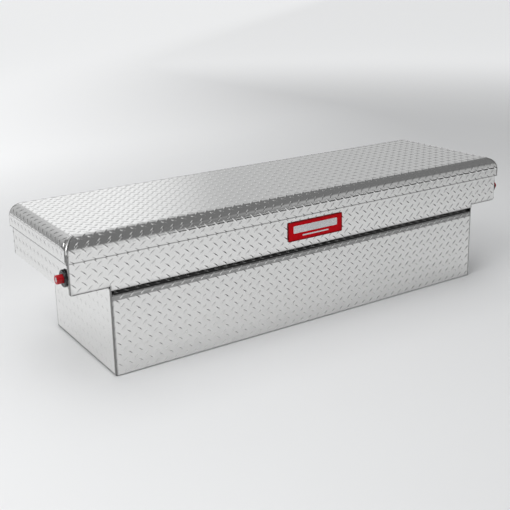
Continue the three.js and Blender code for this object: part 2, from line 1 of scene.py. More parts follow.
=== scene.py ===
"""A crossover truck tool box in bright diamond plate, dressed over its frame.

Metres, +Z up, the front of the box at -Y. Every tread sheet is laid out flat, covered with its lugs,
and then folded into place.
"""
import math

import bmesh
import bpy
import numpy as np
from bpy.props import FloatProperty, FloatVectorProperty, PointerProperty
from mathutils import Matrix, Vector
from mathutils.geometry import delaunay_2d_cdt


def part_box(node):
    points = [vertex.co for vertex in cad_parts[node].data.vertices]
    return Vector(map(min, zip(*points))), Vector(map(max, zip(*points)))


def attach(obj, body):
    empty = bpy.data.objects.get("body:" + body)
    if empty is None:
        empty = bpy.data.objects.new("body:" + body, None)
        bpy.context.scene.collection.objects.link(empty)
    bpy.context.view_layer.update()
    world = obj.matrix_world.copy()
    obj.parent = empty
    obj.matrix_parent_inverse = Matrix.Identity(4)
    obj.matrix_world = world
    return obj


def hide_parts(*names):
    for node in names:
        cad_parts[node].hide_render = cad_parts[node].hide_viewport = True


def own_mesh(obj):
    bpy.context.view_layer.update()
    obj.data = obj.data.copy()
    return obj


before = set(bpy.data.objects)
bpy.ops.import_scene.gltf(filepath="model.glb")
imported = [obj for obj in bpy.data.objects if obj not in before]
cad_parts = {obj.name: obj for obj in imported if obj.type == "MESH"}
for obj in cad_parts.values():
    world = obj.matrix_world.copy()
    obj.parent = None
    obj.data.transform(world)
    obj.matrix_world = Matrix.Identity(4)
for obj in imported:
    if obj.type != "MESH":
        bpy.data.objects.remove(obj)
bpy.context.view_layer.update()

bl_info = {
    "name": "Truck Tool Box",
    "version": (1, 0, 0),
    "blender": (4, 5, 0),
    "location": "View3D > Sidebar > Tool Box",
    "description": "Builds a crossover truck tool box in diamond plate",
    "category": "Add Mesh",
}

MM = 0.001
PHOTO_WIDTH = 510
DIAGONAL = math.sqrt(0.5)
LEFT_AND_RIGHT = ((-1, "left"), (1, "right"))

# Camera, fitted to the box's edges in the photograph
CAMERA_PLACE = (-1.7403, -2.5496, 1.2174)
CAMERA_FORWARD = (0.52536, 0.80910, -0.26335)
CAMERA_RIGHT = (0.83540, -0.54925, -0.02091)
CAMERA_FOCAL_PIXELS = 867.4
CAMERA_SHIFT = -0.1
CAMERA_SENSOR = 36.0
CAMERA_REACH = 500

# Floor. Each span of its glow is (from, to, value at the first, value at the second), in metres,
# and goes from 0 to 1 where no values are given
FLOOR_SIDES = 96
FLOOR_DARKEST = 0.97
FLOOR_FAR = (2.6, 9.0, 0.0, 0.64)
FLOOR_BEHIND_LEFT = (-2.5, 6.5, 0.0, 0.72)
FLOOR_RIGHT_OF = (-2.8, -0.9)
FLOOR_BEHIND = (0.8, 3.4)

# Dark card: from and to along X, the (x, y) nearest to the box, how it bows away, and its height
CARD_RUN = (0.2, 6.0)
CARD_STEPS = 12
CARD_NEAREST = (3, -1.6)
CARD_BOW = 0.03
CARD_HEIGHT = 0.34
CARD_COLOUR = (0.08, 0.08, 0.08, 1.0)

# Lights
SIDE_LIGHT_PLACE = (-3.3, -0.9, 3.1)
SIDE_LIGHT_SIZE = 3.0
CEILING_LIGHT_PLACE = (0.0, 0.0, 4.5)
CEILING_LIGHT_SIZE = 6.0
LIGHT_AIM = (0, 0, 0.2)

# Studio walls that the metal shows: directions, the spans of their cosines or angles in the same
# form as the floor's, and levels of light
SKY_COLOUR = (0.985, 0.993, 1.0, 1.0)
WALL_LEVEL = 0.18
BELOW_LEVEL = 0.7
BACKDROP_LEVEL = 0.74
FRONT_WAY = (0.087, -0.996, 0)
FRONT_SPREAD = (0.905, 0.96)
FRONT_RISE = (0.16, 0.30, 0.44, 0.0)
RIGHT_FROM = (math.radians(-60), math.radians(-50))
RIGHT_TO = (math.radians(-40), math.radians(-36), 1.0, 0.0)
RIGHT_RISE = (0.42, 0.62, 0.27, 0.0)
SHADE_FROM = (math.radians(-40), math.radians(-34))
SHADE_TO = (math.radians(10), math.radians(25), 1.0, 0.0)
SHADE_RISE = (0.20, 0.36, 0.10, 0.0)
BEHIND_WAY = (0.33, 0.944, 0)
BEHIND_SPREAD = (0.66, 0.80, 0.0, 0.36)
SPOT_WAY = (0.319, 0.912, 0.259)
SPOT_SPREAD = (0.980, 0.998, 0.0, 0.44)
UPPER_WAY = (0.058, 0.667, 0.743)
UPPER_SPREAD = (0.91, 0.98, 0.0, 0.36)
CEILING_SPREAD = (0.955, 0.985)
HORIZON = (-0.02, 0.0)

# Sheet metal, outside measures as on the frame
SHEET = 2 * MM
LID_BEND = 44 * MM
PANEL_BEND = 6 * MM
RIM_BEND = 4 * MM
RIM_FLANGE = 22 * MM
RIM_LIP = 12 * MM
SEAM_FLANGE = 32 * MM
WING_FLANGE = 15 * MM
WING_BEND = 3 * MM
WING_DROP = 24 * MM
SHOULDER_BEND = 19 * MM
TUB_FLANGE = 28 * MM
BODY_CORNER = 7 * MM
CORNER_GAP = 0.5 * MM
RELIEF = 0.3 * MM
REAR_EDGE_RADIUS = 2.5 * MM
LOCK_HOLE = 18.3 * MM

# How finely bends and round edges are divided
BEND_STEP = math.radians(9)
CORNER_STEP = math.radians(15)
LID_STEP = math.radians(6)
FEWEST_STEPS = 3
MITRE_STEPS = 14
SKIRT_STEPS = 11
HOLE_STEPS = 32

# Welds
WELD_RADIUS = 4 * MM
LID_WELD_RADIUS = 5 * MM
LID_WELD_PROUD = 0.2 * MM
MITRE_FADE = math.radians(86)
BEAD_STEPS = 7

# Where the tread pattern starts on each sheet
LID_TREAD = (-868.9 * MM, 412.8 * MM)
LID_SKIRT_TREAD = (-868.9 * MM, 409 * MM)
SADDLE_TREAD = (-871.6 * MM, 340.9 * MM)
SADDLE_END_TREAD = 9 * MM
TUB_TREAD = (-735.95 * MM, 225.65 * MM)
TUB_END_TREAD = 12 * MM
WING_TREAD = (10 * MM, 20 * MM)

# Shape of a lug. Its rings are (points, share of its length, share of its width). Its foot and middle
# are squared shares of its size, and from the least share of its height a point is on it.
LUG_TAPER = 0.35
LUG_ROOF = 0.7
STEEPEST = 1.3
LUG_OUTER = (12, 1.0, 1.0)
LUG_INNER = (8, 0.64, 0.36)
LUG_RIDGE = 0.3
LUG_FOOT = 1.02
LUG_MIDDLE = 1e-3
LUG_LEAST = 0.02

# Painted shade on the sheets, as shares of black, and the bands in which it lies: a painted shadow
# line along each cut edge, painted shade down the saddle's corner folds and along its wall's foot,
# how fast it fades off the lug crests, which stay lit, and how much darker the whole tub is painted
CUT_BAND = 3.2 * MM
CUT_BAND_LINES = (1.0, 1.3)
CUT_BAND_REACH = 1.05
EDGE_PAINTED_SHADE = 0.5
CORNER_PAINTED_SHADE = 0.85
FOOT_PAINTED_SHADE = 0.5
FOOT_BAND = 1 * MM
CREST_SHADE_FADE = 3.6
TUB_DARKENING = 0.09

# The tub's shoulder: painted black shade in the groove beyond a share of its bend, and a painted grey
# band of shade from a share below it
SHOULDER_SHADE_START = 0.26
SHOULDER_FADE = 0.18
SHOULDER_PAINTED_SHADE = 0.97
SHOULDER_DROP = 0.72
SHOULDER_GREY = 0.62
SHOULDER_EASE = 0.03

# Weather seal
SEAL_WIDTH = 12 * MM
SEAL_CORNER = 16 * MM
SEAL_FOOT = 2.2 * MM
SEAL_FOOT_EASE = 0.6 * MM
SEAL_BULB = 4.4 * MM
SEAL_SPAN = 60 * MM

# Hinge
LEAF_SHEET = 1 * MM
KNUCKLE = 3.5 * MM
KNUCKLE_BORE = 1.5 * MM
KNUCKLE_EASE = 0.4 * MM
KNUCKLE_GAP = 0.25 * MM
KNUCKLE_RELIEF = 0.5 * MM
KNUCKLES = 15

# Name plate: half width, half height, corner and height over the middle of its two marks
PLATE_RIM = 3.6 * MM
PLATE_CORNER = 5 * MM
PLATE_FIELD_CORNER = PLATE_CORNER - 2.4 * MM
PLATE_FIELD_DEPTH = 0.7 * MM
PLATE_MARK_ROOT = 0.1 * MM
PLATE_BAND = (94 * MM, 13 * MM, 4 * MM, 6 * MM)
PLATE_BAND_HEIGHT = 0.5 * MM
PLATE_LINE = (56 * MM, 2.4 * MM, 1.4 * MM, -18 * MM)
PLATE_LINE_HEIGHT = 0.4 * MM

# Locks. Turned profiles in millimetres: (distance out from the body's end, radius). The rounds are
# (distance, radius, size), the thread is (from, to, pitch), and the slot is half its width and height.
BEZEL_FOOT = [(0, 18.25), (0, 27)]
BEZEL_ROUND = (4, 24, 3)
BEZEL_FACE = [
    (7, 21.4), (6.2, 20.6), (6.2, 19.4), (7, 18.6), (7, 15.2), (6.8, 14.7), (6.3, 14.4),
    (5.4, 14.4), (5.4, 18.25),
]
PLUNGER_END = [(0, 0), (0, 4.0), (0.5, 4.5)]
BUTTON_SIDE = [(-6, 4.5), (-6, 13.5), (-5.5, 14), (9.0, 14), (9.3, 13.5), (10.2, 13.5), (10.5, 14)]
BUTTON_ROUND = (25.2, 12.2, 1.8)
BUTTON_FACE = [(27, 9.4), (26.5, 8.6), (26.3, 7.15), (2.4, 7.15), (2.4, 0)]
BARREL_END = [(-35.9, 4.9), (-35.9, 16.8), (-34.9, 17.8)]
THREAD_RUN = (-34.2, -1, 1.6)
THREAD_TURN = [(0, 18), (0.3, 18), (0.8, 17.3), (1.1, 17.3)]
BARREL_BORE = [(-0.4, 18), (5.1, 18), (5.1, 14.4), (-32.9, 14.4), (-32.9, 4.9)]
KEY_SLOT = (0.7 * MM, 4 * MM)
KEY_SLOT_DEPTH = 4 * MM
NUT_HALF_WIDTH = 24 * MM
NUT_BORE = 18.1 * MM

# Gas struts: (y, z) of both pivots, and profiles in millimetres from the lower or the upper pivot
STRUT_PLANE = 864 * MM
STRUT_FOOT = (210.3 * MM, 345 * MM)
STRUT_HEAD = (-59.7 * MM, 432 * MM)
STRUT_TUBE = [
    (5, 0), (5, 4.6), (14, 4.6), (15.2, 6.6), (18.5, 9), (182, 9), (183.2, 8.3), (186, 8.3),
    (187.2, 9), (191.5, 9), (193.4, 7.8), (194, 6), (194, 0),
]
STRUT_ROD_INNER = [(107.7, 0), (107.7, 3.5), (108.2, 4)]
STRUT_ROD_OUTER = [(-20, 4), (-19.5, 5), (-6, 5), (-6, 0)]
STRUT_EYE = [(-5, 3.6), (-5, 6.9), (-4.4, 7.5), (4.4, 7.5), (5, 6.9), (5, 3.6)]

# Springs
BUTTON_COIL = {"radius": 10.4 * MM, "wire": 1.2 * MM, "turns": 7}
HOOK_COIL = {"radius": 4.9 * MM, "wire": 0.65 * MM, "turns": 2.8}

# Release rod: its corners in millimetres
ROD_POINTS = (
    (-858, -213, 401), (-858, -224.5, 401), (800, -224.5, 401),
    (836, -224.5, 369), (858, -224.5, 369), (858, -213, 369),
)
ROD_RADIUS = 3 * MM
ROD_BEND = 6 * MM
ROD_BEND_MOST = 0.45

# Rivets inside, as (y, z) on the brackets and (x, y) on the lid, in metres. Those of the strut
# brackets stand about STRUT_FOOT. The pan's run is (from, to, count).
BRACKET_PLANE = 897.5 * MM
STRUT_BRACKET_RIVETS = [(y, z) for y in (-0.013, 0.013) for z in (-0.014, 0.014)]
LATCH_RIVETS = ((-0.2320, 0.381), (-0.2320, 0.419))
LID_RIVETS = ((0.838, -0.068), (0.838, -0.051), (0.829, -0.2185))
LID_RIVET_LEVEL = 0.4475
PAN_RIVET_INSET = 9 * MM
PAN_RIVET_RUN = (-0.18, 0.18, 6)

# Places read from the frame
LID_LOW, LID_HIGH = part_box("lid_skin")
BODY_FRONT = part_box("saddle_front_panel")[0].y
BODY_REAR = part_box("saddle_rear_panel")[1].y
BODY_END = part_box("saddle_end_right")[1].x
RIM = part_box("saddle_front_panel")[1].z
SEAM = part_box("saddle_front_panel")[0].z
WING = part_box("wing_floor_right")[0].z + WING_DROP
TUB_LOW, TUB_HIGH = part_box("tub_shell")
TUB_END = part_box("tub_end_right")[1].x
TUB_END_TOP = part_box("tub_end_right")[1].z
BEZEL_LOW, BEZEL_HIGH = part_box("lock_bezel_right")
LOCK_Y = (BEZEL_LOW.y + BEZEL_HIGH.y) / 2
LOCK_Z = (BEZEL_LOW.z + BEZEL_HIGH.z) / 2
PLATE_LOW, PLATE_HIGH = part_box("name_plate")

# Distances below which points are taken as one: in metres, but for the flat one, in millimetres
ON_AXIS = 1e-7
ON_LINE = 2e-7
SAME_POINT = 1e-7
SAME_FLAT_POINT = 1e-4
SHORTEST = 1e-9


class TREAD_PG_pattern(bpy.types.PropertyGroup):
    """The raised lugs of the diamond plate"""

    pitch: FloatProperty(
        name="Pitch", description="From one lug to the next of the same slope",
        default=34.8 * MM, min=0.02, max=0.06, unit="LENGTH",
    )
    tub_pitch: FloatProperty(
        name="Tub Pitch", description="The same on the tub, which comes from another sheet",
        default=35.5 * MM, min=0.02, max=0.06, unit="LENGTH",
    )
    half_length: FloatProperty(
        name="Half Length", description="Half the length of a lug",
        default=14 * MM, min=0.005, max=0.02, unit="LENGTH",
    )
    half_width: FloatProperty(
        name="Half Width", description="Half the width of a lug",
        default=4.1 * MM, min=0.001, max=0.006, unit="LENGTH",
    )
    height: FloatProperty(
        name="Height", description="How far a lug stands above the sheet",
        default=1.5 * MM, min=0.0005, max=0.0018, unit="LENGTH",
    )


class FINISH_PG_colours(bpy.types.PropertyGroup):
    """The colours of the finishes"""

    aluminium: FloatVectorProperty(
        name="Aluminium", description="Colour of the bright sheet", subtype="COLOR", size=3,
        default=(0.885, 0.882, 0.872), min=0, max=1,
    )
    badge: FloatVectorProperty(
        name="Badge", description="Colour of the name plate's field", subtype="COLOR", size=3,
        default=(0.60, 0.0, 0.006), min=0, max=1,
    )
    button: FloatVectorProperty(
        name="Button", description="Colour of the lock's button", subtype="COLOR", size=3,
        default=(0.44, 0.006, 0.012), min=0, max=1,
    )
    rubber: FloatVectorProperty(
        name="Rubber", description="Colour of the weather seal", subtype="COLOR", size=3,
        default=(0.018, 0.018, 0.019), min=0, max=1,
    )


class STAGE_PG_studio(bpy.types.PropertyGroup):
    """The pale floor and the soft light"""

    floor_radius: FloatProperty(
        name="Floor Radius", description="Radius of the pale floor",
        default=60, min=5, max=200, unit="LENGTH",
    )
    floor_colour: FloatVectorProperty(
        name="Floor Colour", description="Colour of the pale floor", subtype="COLOR", size=3,
        default=(0.80, 0.805, 0.81), min=0, max=1,
    )
    overhead: FloatProperty(
        name="Overhead Light", description="Radiance of the soft light above",
        default=0.95, min=0, max=20,
    )
    ceiling_light: FloatProperty(
        name="Ceiling Light", description="Power of the wide soft light above, which metal does not show",
        default=125, min=0, max=1000, subtype="POWER",
    )
    side_light: FloatProperty(
        name="Side Light", description="Power of the large soft light on the left",
        default=95, min=0, max=1000, subtype="POWER",
    )


class Section:
    """A profile of straight panels joined by round bends, measured along the flat sheet.

    One panel is the home panel: there the measure equals a real coordinate.
    """

    def __init__(self, corners, radii, home=0, home_value=0.0):
        corners = [np.array(corner, float) for corner in corners]
        self.pieces = []
        at, here = 0.0, corners[0]
        ways = [(b - a) / np.linalg.norm(b - a) for a, b in zip(corners, corners[1:])]
        for i, way in enumerate(ways):
            reach, bend = 0.0, None
            if i < len(radii):
                turn = math.atan2(
                    way[0] * ways[i + 1][1] - way[1] * ways[i + 1][0], float(way @ ways[i + 1]))
                reach = radii[i] * math.tan(abs(turn) / 2)
                bend = (radii[i], turn)
            end = corners[i + 1] - way * reach
            length = float(np.linalg.norm(end - here))
            self.pieces.append((at, length, here, way, None))
            at += length
            if bend:
                arc = bend[0] * abs(bend[1])
                self.pieces.append((at, arc, end, way, bend))
                at += arc
                here = corners[i + 1] + ways[i + 1] * reach
        shift = home_value - self.pieces[2 * home][0]
        self.pieces = [(start + shift, *rest) for start, *rest in self.pieces]
        self.start = self.pieces[0][0]
        self.end = self.pieces[-1][0] + self.pieces[-1][1]

    def panel(self, index):
        """Where a straight panel begins and ends along the sheet."""
        start, length = self.pieces[2 * index][:2]
        return start, start + length

    def at(self, s):
        """Points and directions at the distances s."""
        s = np.asarray(s, float)
        starts = np.array([piece[0] for piece in self.pieces])
        which = np.clip(np.searchsorted(starts, s, side="right") - 1, 0, len(self.pieces) - 1)
        point = np.zeros((len(s), 2))
        way = np.zeros((len(s), 2))
        for k, (start, _, origin, heading, bend) in enumerate(self.pieces):
            mine = which == k
            if not mine.any():
                continue
            along = s[mine] - start
            if bend is None:
                point[mine] = origin + along[:, None] * heading
                way[mine] = heading
                continue
            radius, turn = bend
            side = math.copysign(1, turn)
            left = np.array((-heading[1], heading[0])) * side
            centre = origin + left * radius
            angle = along / radius
            way[mine] = np.cos(angle)[:, None] * heading + np.sin(angle)[:, None] * left
            point[mine] = centre + radius * (
                np.sin(angle)[:, None] * heading - np.cos(angle)[:, None] * left)
        return point, way

    def creases(self, step=BEND_STEP):
        """Distances of the lines that a bend needs."""
        found = []
        for start, length, _, _, bend in self.pieces:
            if bend:
                count = max(FEWEST_STEPS, math.ceil(abs(bend[1]) / step))
                found.extend(start + length * k / count for k in range(count + 1))
        return found


class Fold:
    """Places flat points (u, v) of a straight-run sheet: u along one axis, v along a section."""

    def __init__(self, section, along, across, up):
        self.section = section
        self.axes = [np.array(axis, float) for axis in (along, across, up)]

    def place(self, u, v):
        along, across, up = self.axes
        point, way = self.section.at(v)
        places = u[:, None] * along + point[:, :1] * across + point[:, 1:] * up
        along_u = np.repeat(along[None], len(u), 0)
        along_v = way[:, :1] * across + way[:, 1:] * up
        return places, along_u, along_v

    def lines(self, low, high):
        return [[(low, v), (high, v)] for v in self.section.creases()]


class WallFold:
    """Places flat points of an upright wall: u along a path in plan, v up a profile of (reach, height)."""

    def __init__(self, plan, profile, wing_profile=None, wing_from=0.0):
        self.plan = plan
        self.profile = profile
        self.wing_profile = wing_profile
        self.wing_from = wing_from

    def place(self, u, v):
        spot, way = self.plan.at(u)
        outward = np.stack([way[:, 1], -way[:, 0]], 1)
        reach, rise = self.profile.at(v)
        if self.wing_profile:
            on_wing = np.abs(u) > self.wing_from
            wing_reach, wing_rise = self.wing_profile.at(v)
            reach[on_wing] = wing_reach[on_wing]
            rise[on_wing] = wing_rise[on_wing]
        flat = spot + outward * reach[:, :1]
        places = np.column_stack([flat, reach[:, 1]])
        along_u = np.column_stack([way, np.zeros(len(u))])
        along_v = np.column_stack([outward * rise[:, :1], rise[:, 1]])
        return places, along_u, along_v

    def lines(self, low, high):
        lines = [[(u, self.profile.start - SHEET), (u, self.profile.end + SHEET)]
                 for u in self.plan.creases(CORNER_STEP)]
        if not self.wing_profile:
            return lines + [[(low, v), (high, v)] for v in self.profile.creases()]
        edge = self.wing_from
        top = self.profile.panel(1)[1] - SHEET
        for v in self.profile.creases():
            if v > top:
                lines.append([(low, v), (high, v)])
            else:
                lines.append([(-edge + RELIEF / 2, v), (edge - RELIEF / 2, v)])
        for v in self.wing_profile.creases():
            if v < top:
                lines.append([(low, v), (RELIEF / 2 - edge - RELIEF, v)])
                lines.append([(edge + RELIEF / 2, v), (high, v)])
        return lines


class LidFold:
    """Places flat points of the lid: a top whose front and ends are rolled down."""

    def __init__(self, front, across):
        self.front = front
        self.across = across
        self.top = front.panel(1)[0]

    def place(self, u, v):
        side, side_way = self.front.at(v)
        end, end_way = self.across.at(u)
        height = side[:, 1]
        past_end = np.abs(u) - self.across.panel(1)[1]
        rolled = (past_end > 0) & (past_end > self.top - v)
        places = np.column_stack([u, side[:, 0], height])
        along_u = np.repeat([[1.0, 0.0, 0.0]], len(u), 0)
        along_v = np.column_stack([np.zeros(len(u)), side_way])
        places[rolled, 0] = end[rolled, 0]
        places[rolled, 2] = end[rolled, 1]
        along_u[rolled, 0] = end_way[rolled, 0]
        along_u[rolled, 2] = end_way[rolled, 1]
        return places, along_u, along_v

    def lines(self, low, high):
        lines = [[(low, v), (high, v)] for v in self.front.creases(LID_STEP)]
        front, rear = self.front.start, self.front.end
        lines += [[(u, front), (u, rear)] for u in self.across.creases(LID_STEP)]
        return lines


class Tread:
    """A square lattice of lugs that lean one way, with the lugs that lean the other way between them."""

    def __init__(self, pattern, origin, pitch):
        self.pattern = pattern
        self.origin = np.array(origin)
        self.pitch = pitch

    def on_lug(self, points):
        """Which flat points lie on a lug."""
        return self.height(points[:, 0], points[:, 1])[0] > LUG_LEAST * self.pattern.height

    def ring(self, count, long, wide):
        """Points round a lug at shares of its length and width."""
        angles = np.arange(count) / count * 2 * math.pi
        along, across = long * np.cos(angles), wide * np.sin(angles)
        across *= 1 - LUG_TAPER * along ** 2
        return np.column_stack([along, across]) * (self.pattern.half_length, self.pattern.half_width)

    def lug_rings(self, inside, low, high):
        """Rings of points round each lug that touches the sheet."""
        p = self.pattern
        rings = []
        outer = self.ring(*LUG_OUTER)
        inner = self.ring(*LUG_INNER)
        ridge = np.array([(-LUG_RIDGE, 0), (LUG_RIDGE, 0)]) * (p.half_length, p.half_width)
        for lean in (1, -1):
            turn = np.array([(1, lean), (-lean, 1)]) * DIAGONAL
            shift = self.origin + (0 if lean > 0 else self.pitch / 2)
            first = np.floor((np.array(low) - shift) / self.pitch).astype(int)
            last = np.ceil((np.array(high) - shift) / self.pitch).astype(int)
            for i in range(first[0], last[0] + 1):
                for j in range(first[1], last[1] + 1):
                    centre = shift + self.pitch * np.array((i, j))
                    ring = centre + outer @ turn
                    if inside(ring).any():
                        rings.append((ring, centre + inner @ turn, centre + ridge @ turn))
        return rings

    def height(self, u, v):
        """Height of the lugs over flat points, and its slopes along u and v, foot points included."""
        p = self.pattern
        total, slope_u, slope_v = np.zeros(len(u)), np.zeros(len(u)), np.zeros(len(u))
        for lean in (1, -1):
            shift = self.origin + (0 if lean > 0 else self.pitch / 2)
            du, dv = u - shift[0], v - shift[1]
            du -= np.round(du / self.pitch) * self.pitch
            dv -= np.round(dv / self.pitch) * self.pitch
            along = (du + lean * dv) * DIAGONAL
            across = (dv - lean * du) * DIAGONAL
            taper = 1 - LUG_TAPER * (along / p.half_length) ** 2
            square = (along / p.half_length) ** 2 + (across / (p.half_width * taper)) ** 2
            on = square < LUG_FOOT
            height = p.height * np.clip(1 - square ** LUG_ROOF, 0, 1)
            lean_in = -2 * LUG_ROOF * p.height * np.maximum(square, LUG_MIDDLE) ** (LUG_ROOF - 1)
            slope_along = lean_in * along / p.half_length ** 2
            slope_across = lean_in * across / (p.half_width * taper) ** 2
            slope_across = np.clip(slope_across, -STEEPEST, STEEPEST)
            total += np.where(on, height, 0)
            slope_u += np.where(on, (slope_along - lean * slope_across) * DIAGONAL, 0)
            slope_v += np.where(on, (lean * slope_along + slope_across) * DIAGONAL, 0)
        return total, slope_u, slope_v


def within(loop, points):
    """Which of the points lie inside a closed loop."""
    points = np.asarray(points, float)
    inside = np.zeros(len(points), bool)
    for (ax, ay), (bx, by) in zip(loop, loop[1:] + loop[:1]):
        if ay == by:
            continue
        crosses = (ay > points[:, 1]) != (by > points[:, 1])
        reach = ax + (points[:, 1] - ay) * (bx - ax) / (by - ay)
        inside ^= crosses & (points[:, 0] < reach)
    return inside


def triangulate(points, edges, keep):
    """Triangles between flat points, with the edges kept, where keep() holds for their middles."""
    flat = [Vector((u / MM, v / MM)) for u, v in points]
    vertices, _, faces, *_ = delaunay_2d_cdt(flat, edges, [], 0, SAME_FLAT_POINT, False)
    vertices = np.array([tuple(vertex) for vertex in vertices]) * MM
    faces = np.array(faces)
    faces = faces[keep(vertices[faces].mean(1))]
    used = np.unique(faces)
    renumber = np.full(len(vertices), -1)
    renumber[used] = np.arange(len(used))
    return vertices[used], renumber[faces]


def border(faces):
    """Directed edges that only one triangle has."""
    edges = np.concatenate([faces[:, (0, 1)], faces[:, (1, 2)], faces[:, (2, 0)]])
    ordered = np.sort(edges, 1)
    _, index, count = np.unique(ordered, axis=0, return_index=True, return_counts=True)
    return edges[index[count == 1]]


def mesh_object(name, vertices, faces, normals=None, smooth=True):
    """A mesh object, with a normal of its own at each corner of each face where they are given."""
    mesh = bpy.data.meshes.new(name)
    mesh.from_pydata([tuple(v) for v in vertices], [], [tuple(int(i) for i in f) for f in faces])
    mesh.polygons.foreach_set("use_smooth", [smooth] * len(mesh.polygons))
    mesh.update()
    if normals is not None:
        mesh.normals_split_custom_set([tuple(n) for n in normals])
    made = bpy.data.objects.new(name, mesh)
    bpy.context.scene.collection.objects.link(made)
    return made


def unit(vectors):
    return vectors / np.linalg.norm(vectors, axis=-1, keepdims=True)


def lines_along_cuts(loops):
    """Lines beside each side of the loops, between which the painted shadow band along a cut edge ends."""
    for loop in loops:
        for a, b in zip(loop, loop[1:] + loop[:1]):
            aside = np.array((a[1] - b[1], b[0] - a[0]))
            aside *= CUT_BAND / max(np.linalg.norm(aside), SHORTEST)
            for share in CUT_BAND_LINES:
                yield tuple(np.array(a) + share * aside), tuple(np.array(b) + share * aside)


def tread_sheet(name, outline, fold, tread, thickness, holes=(), painted_shade_at=None, levels=(), least_darkening=0.0):
    """A sheet with lugs on its face, cut to a flat outline and folded into place.

    Its cut edges carry a band of painted shade, a painted shadow line, and so does the painted shade
    that the caller asks for, apart from the crests of the lugs, which stay lit. Levels are heights on
    the flat sheet at which it is divided, and the last argument is the least painted darkening anywhere.
    """
    outline_array = np.array(outline)
    low, high = outline_array.min(0), outline_array.max(0)
    loops = (outline, *holes)
    points, edges = [], []

    def ring(loop):
        first = len(points)
        points.extend(tuple(point) for point in loop)
        edges.extend((first + i, first + (i + 1) % len(loop)) for i in range(len(loop)))

    def run(line):
        first = len(points)
        points.extend(line)
        edges.extend((first + i, first + i + 1) for i in range(len(line) - 1))

    def on_sheet(places):
        found = within(outline, places)
        for hole in holes:
            found &= ~within(hole, places)
        return found

    for loop in loops:
        ring(loop)
    for line in fold.lines(low[0] - SHEET, high[0] + SHEET):
        run(line)
    for v in levels:
        run([(low[0] - SHEET, v), (high[0] + SHEET, v)])
    for line in lines_along_cuts(loops):
        run(line)
    for outer, inner, ridge in tread.lug_rings(on_sheet, low, high):
        ring(outer)
        points.extend(tuple(point) for point in inner)
        points.extend(tuple(point) for point in ridge)
    flat, faces = triangulate(points, edges, on_sheet)

    rise, slope_u, slope_v = tread.height(flat[:, 0], flat[:, 1])
    places, along_u, along_v = fold.place(flat[:, 0], flat[:, 1])
    facing = np.cross(along_u, along_v)
    front = places + facing * rise[:, None]
    tilted = unit(facing - along_u * slope_u[:, None] - along_v * slope_v[:, None])
    raised = tread.on_lug(flat[faces].mean(1))
    front_normals = np.where(raised[:, None, None], tilted[faces], facing[faces])

    rim = border(faces)
    loop_ids = np.unique(rim)
    local = {int(vertex): i for i, vertex in enumerate(loop_ids)}
    back_points = [tuple(flat[i]) for i in loop_ids]
    back_edges = [(local[int(a)], local[int(b)]) for a, b in rim]
    back_edges += crease_pairs(fold, flat[loop_ids], low, high, on_sheet)
    back_flat, back_faces = triangulate(back_points, back_edges, on_sheet)
    back_places, back_u, back_v = fold.place(back_flat[:, 0], back_flat[:, 1])
    back_facing = np.cross(back_u, back_v)
    back = back_places - back_facing * thickness

    start, end = rim[:, 0], rim[:, 1]
    step = flat[end] - flat[start]
    outward = unit(along_u[start] * step[:, 1:] - along_v[start] * step[:, :1])
    behind = places - facing * thickness
    wall = np.concatenate([front[start], front[end], behind[end], behind[start]])
    count = len(rim)
    index = np.arange(count)
    first_wall = len(front) + len(back)
    wall_faces = np.column_stack([index, index + 3 * count, index + 2 * count, index + count])
    vertices = np.concatenate([front, back, wall])
    back_normals = -back_facing[back_faces[:, ::-1]]
    wall_normals = np.repeat(outward, 4, 0)
    normals = np.concatenate([front_normals.reshape(-1, 3), back_normals.reshape(-1, 3), wall_normals])
    all_faces = [tuple(f) for f in faces]
    all_faces += [tuple(f[::-1]) for f in back_faces + len(front)]
    all_faces += [tuple(f) for f in wall_faces + first_wall]
    made = mesh_object(name, vertices, all_faces, normals)
    crest = rise / tread.pattern.height
    # Painted shade: a painted shadow band along each cut edge and on the cut faces, the shade that the
    # caller asks for, kept off the lug crests so that they look lit, and the least darkening all over
    soil = (distance_to(loops, flat) < CUT_BAND * CUT_BAND_REACH) * EDGE_PAINTED_SHADE
    if painted_shade_at:
        soil = np.maximum(soil, painted_shade_at(flat) * np.clip(1 - CREST_SHADE_FADE * crest, 0, 1))
    soil = np.maximum(soil, least_darkening)
    for label, values, at_cut in (("crest", crest, 0), ("soil", soil, EDGE_PAINTED_SHADE)):
        layer = made.data.attributes.new(label, "FLOAT", "POINT")
        values = np.concatenate([values, np.zeros(len(back)), np.full(len(wall), at_cut)])
        layer.data.foreach_set("value", values.astype(np.float32))
    return made


def distance_to(loops, points):
    """Distance from flat points to the nearest side of the loops."""
    nearest = np.full(len(points), np.inf)
    for loop in loops:
        for a, b in zip(loop, loop[1:] + loop[:1]):
            a, side = np.array(a), np.array(b) - np.array(a)
            share = np.clip((points - a) @ side / max(float(side @ side), SHORTEST ** 2), 0, 1)
            away = np.linalg.norm(points - a - share[:, None] * side, axis=1)
            nearest = np.minimum(nearest, away)
    return nearest


def crease_pairs(fold, rim_points, low, high, on_sheet):
    """Edges across the sheet's back along each bend line, between points that are on its rim."""
    pairs = []
    for line in fold.lines(low[0] - SHEET, high[0] + SHEET):
        axis = 1 if line[0][1] == line[1][1] else 0
        level = line[0][axis]
        run = sorted((line[0][1 - axis], line[1][1 - axis]))
        on_line = np.nonzero(np.abs(rim_points[:, axis] - level) < ON_LINE)[0]
        on_line = [i for i in on_line if run[0] <= rim_points[i, 1 - axis] <= run[1]]
        on_line.sort(key=rim_points[:, 1 - axis].__getitem__)
        for a, b in zip(on_line, on_line[1:]):
            middle = (rim_points[a] + rim_points[b]) / 2
            if on_sheet(middle[None])[0]:
                pairs.append((int(a), int(b)))
    return pairs


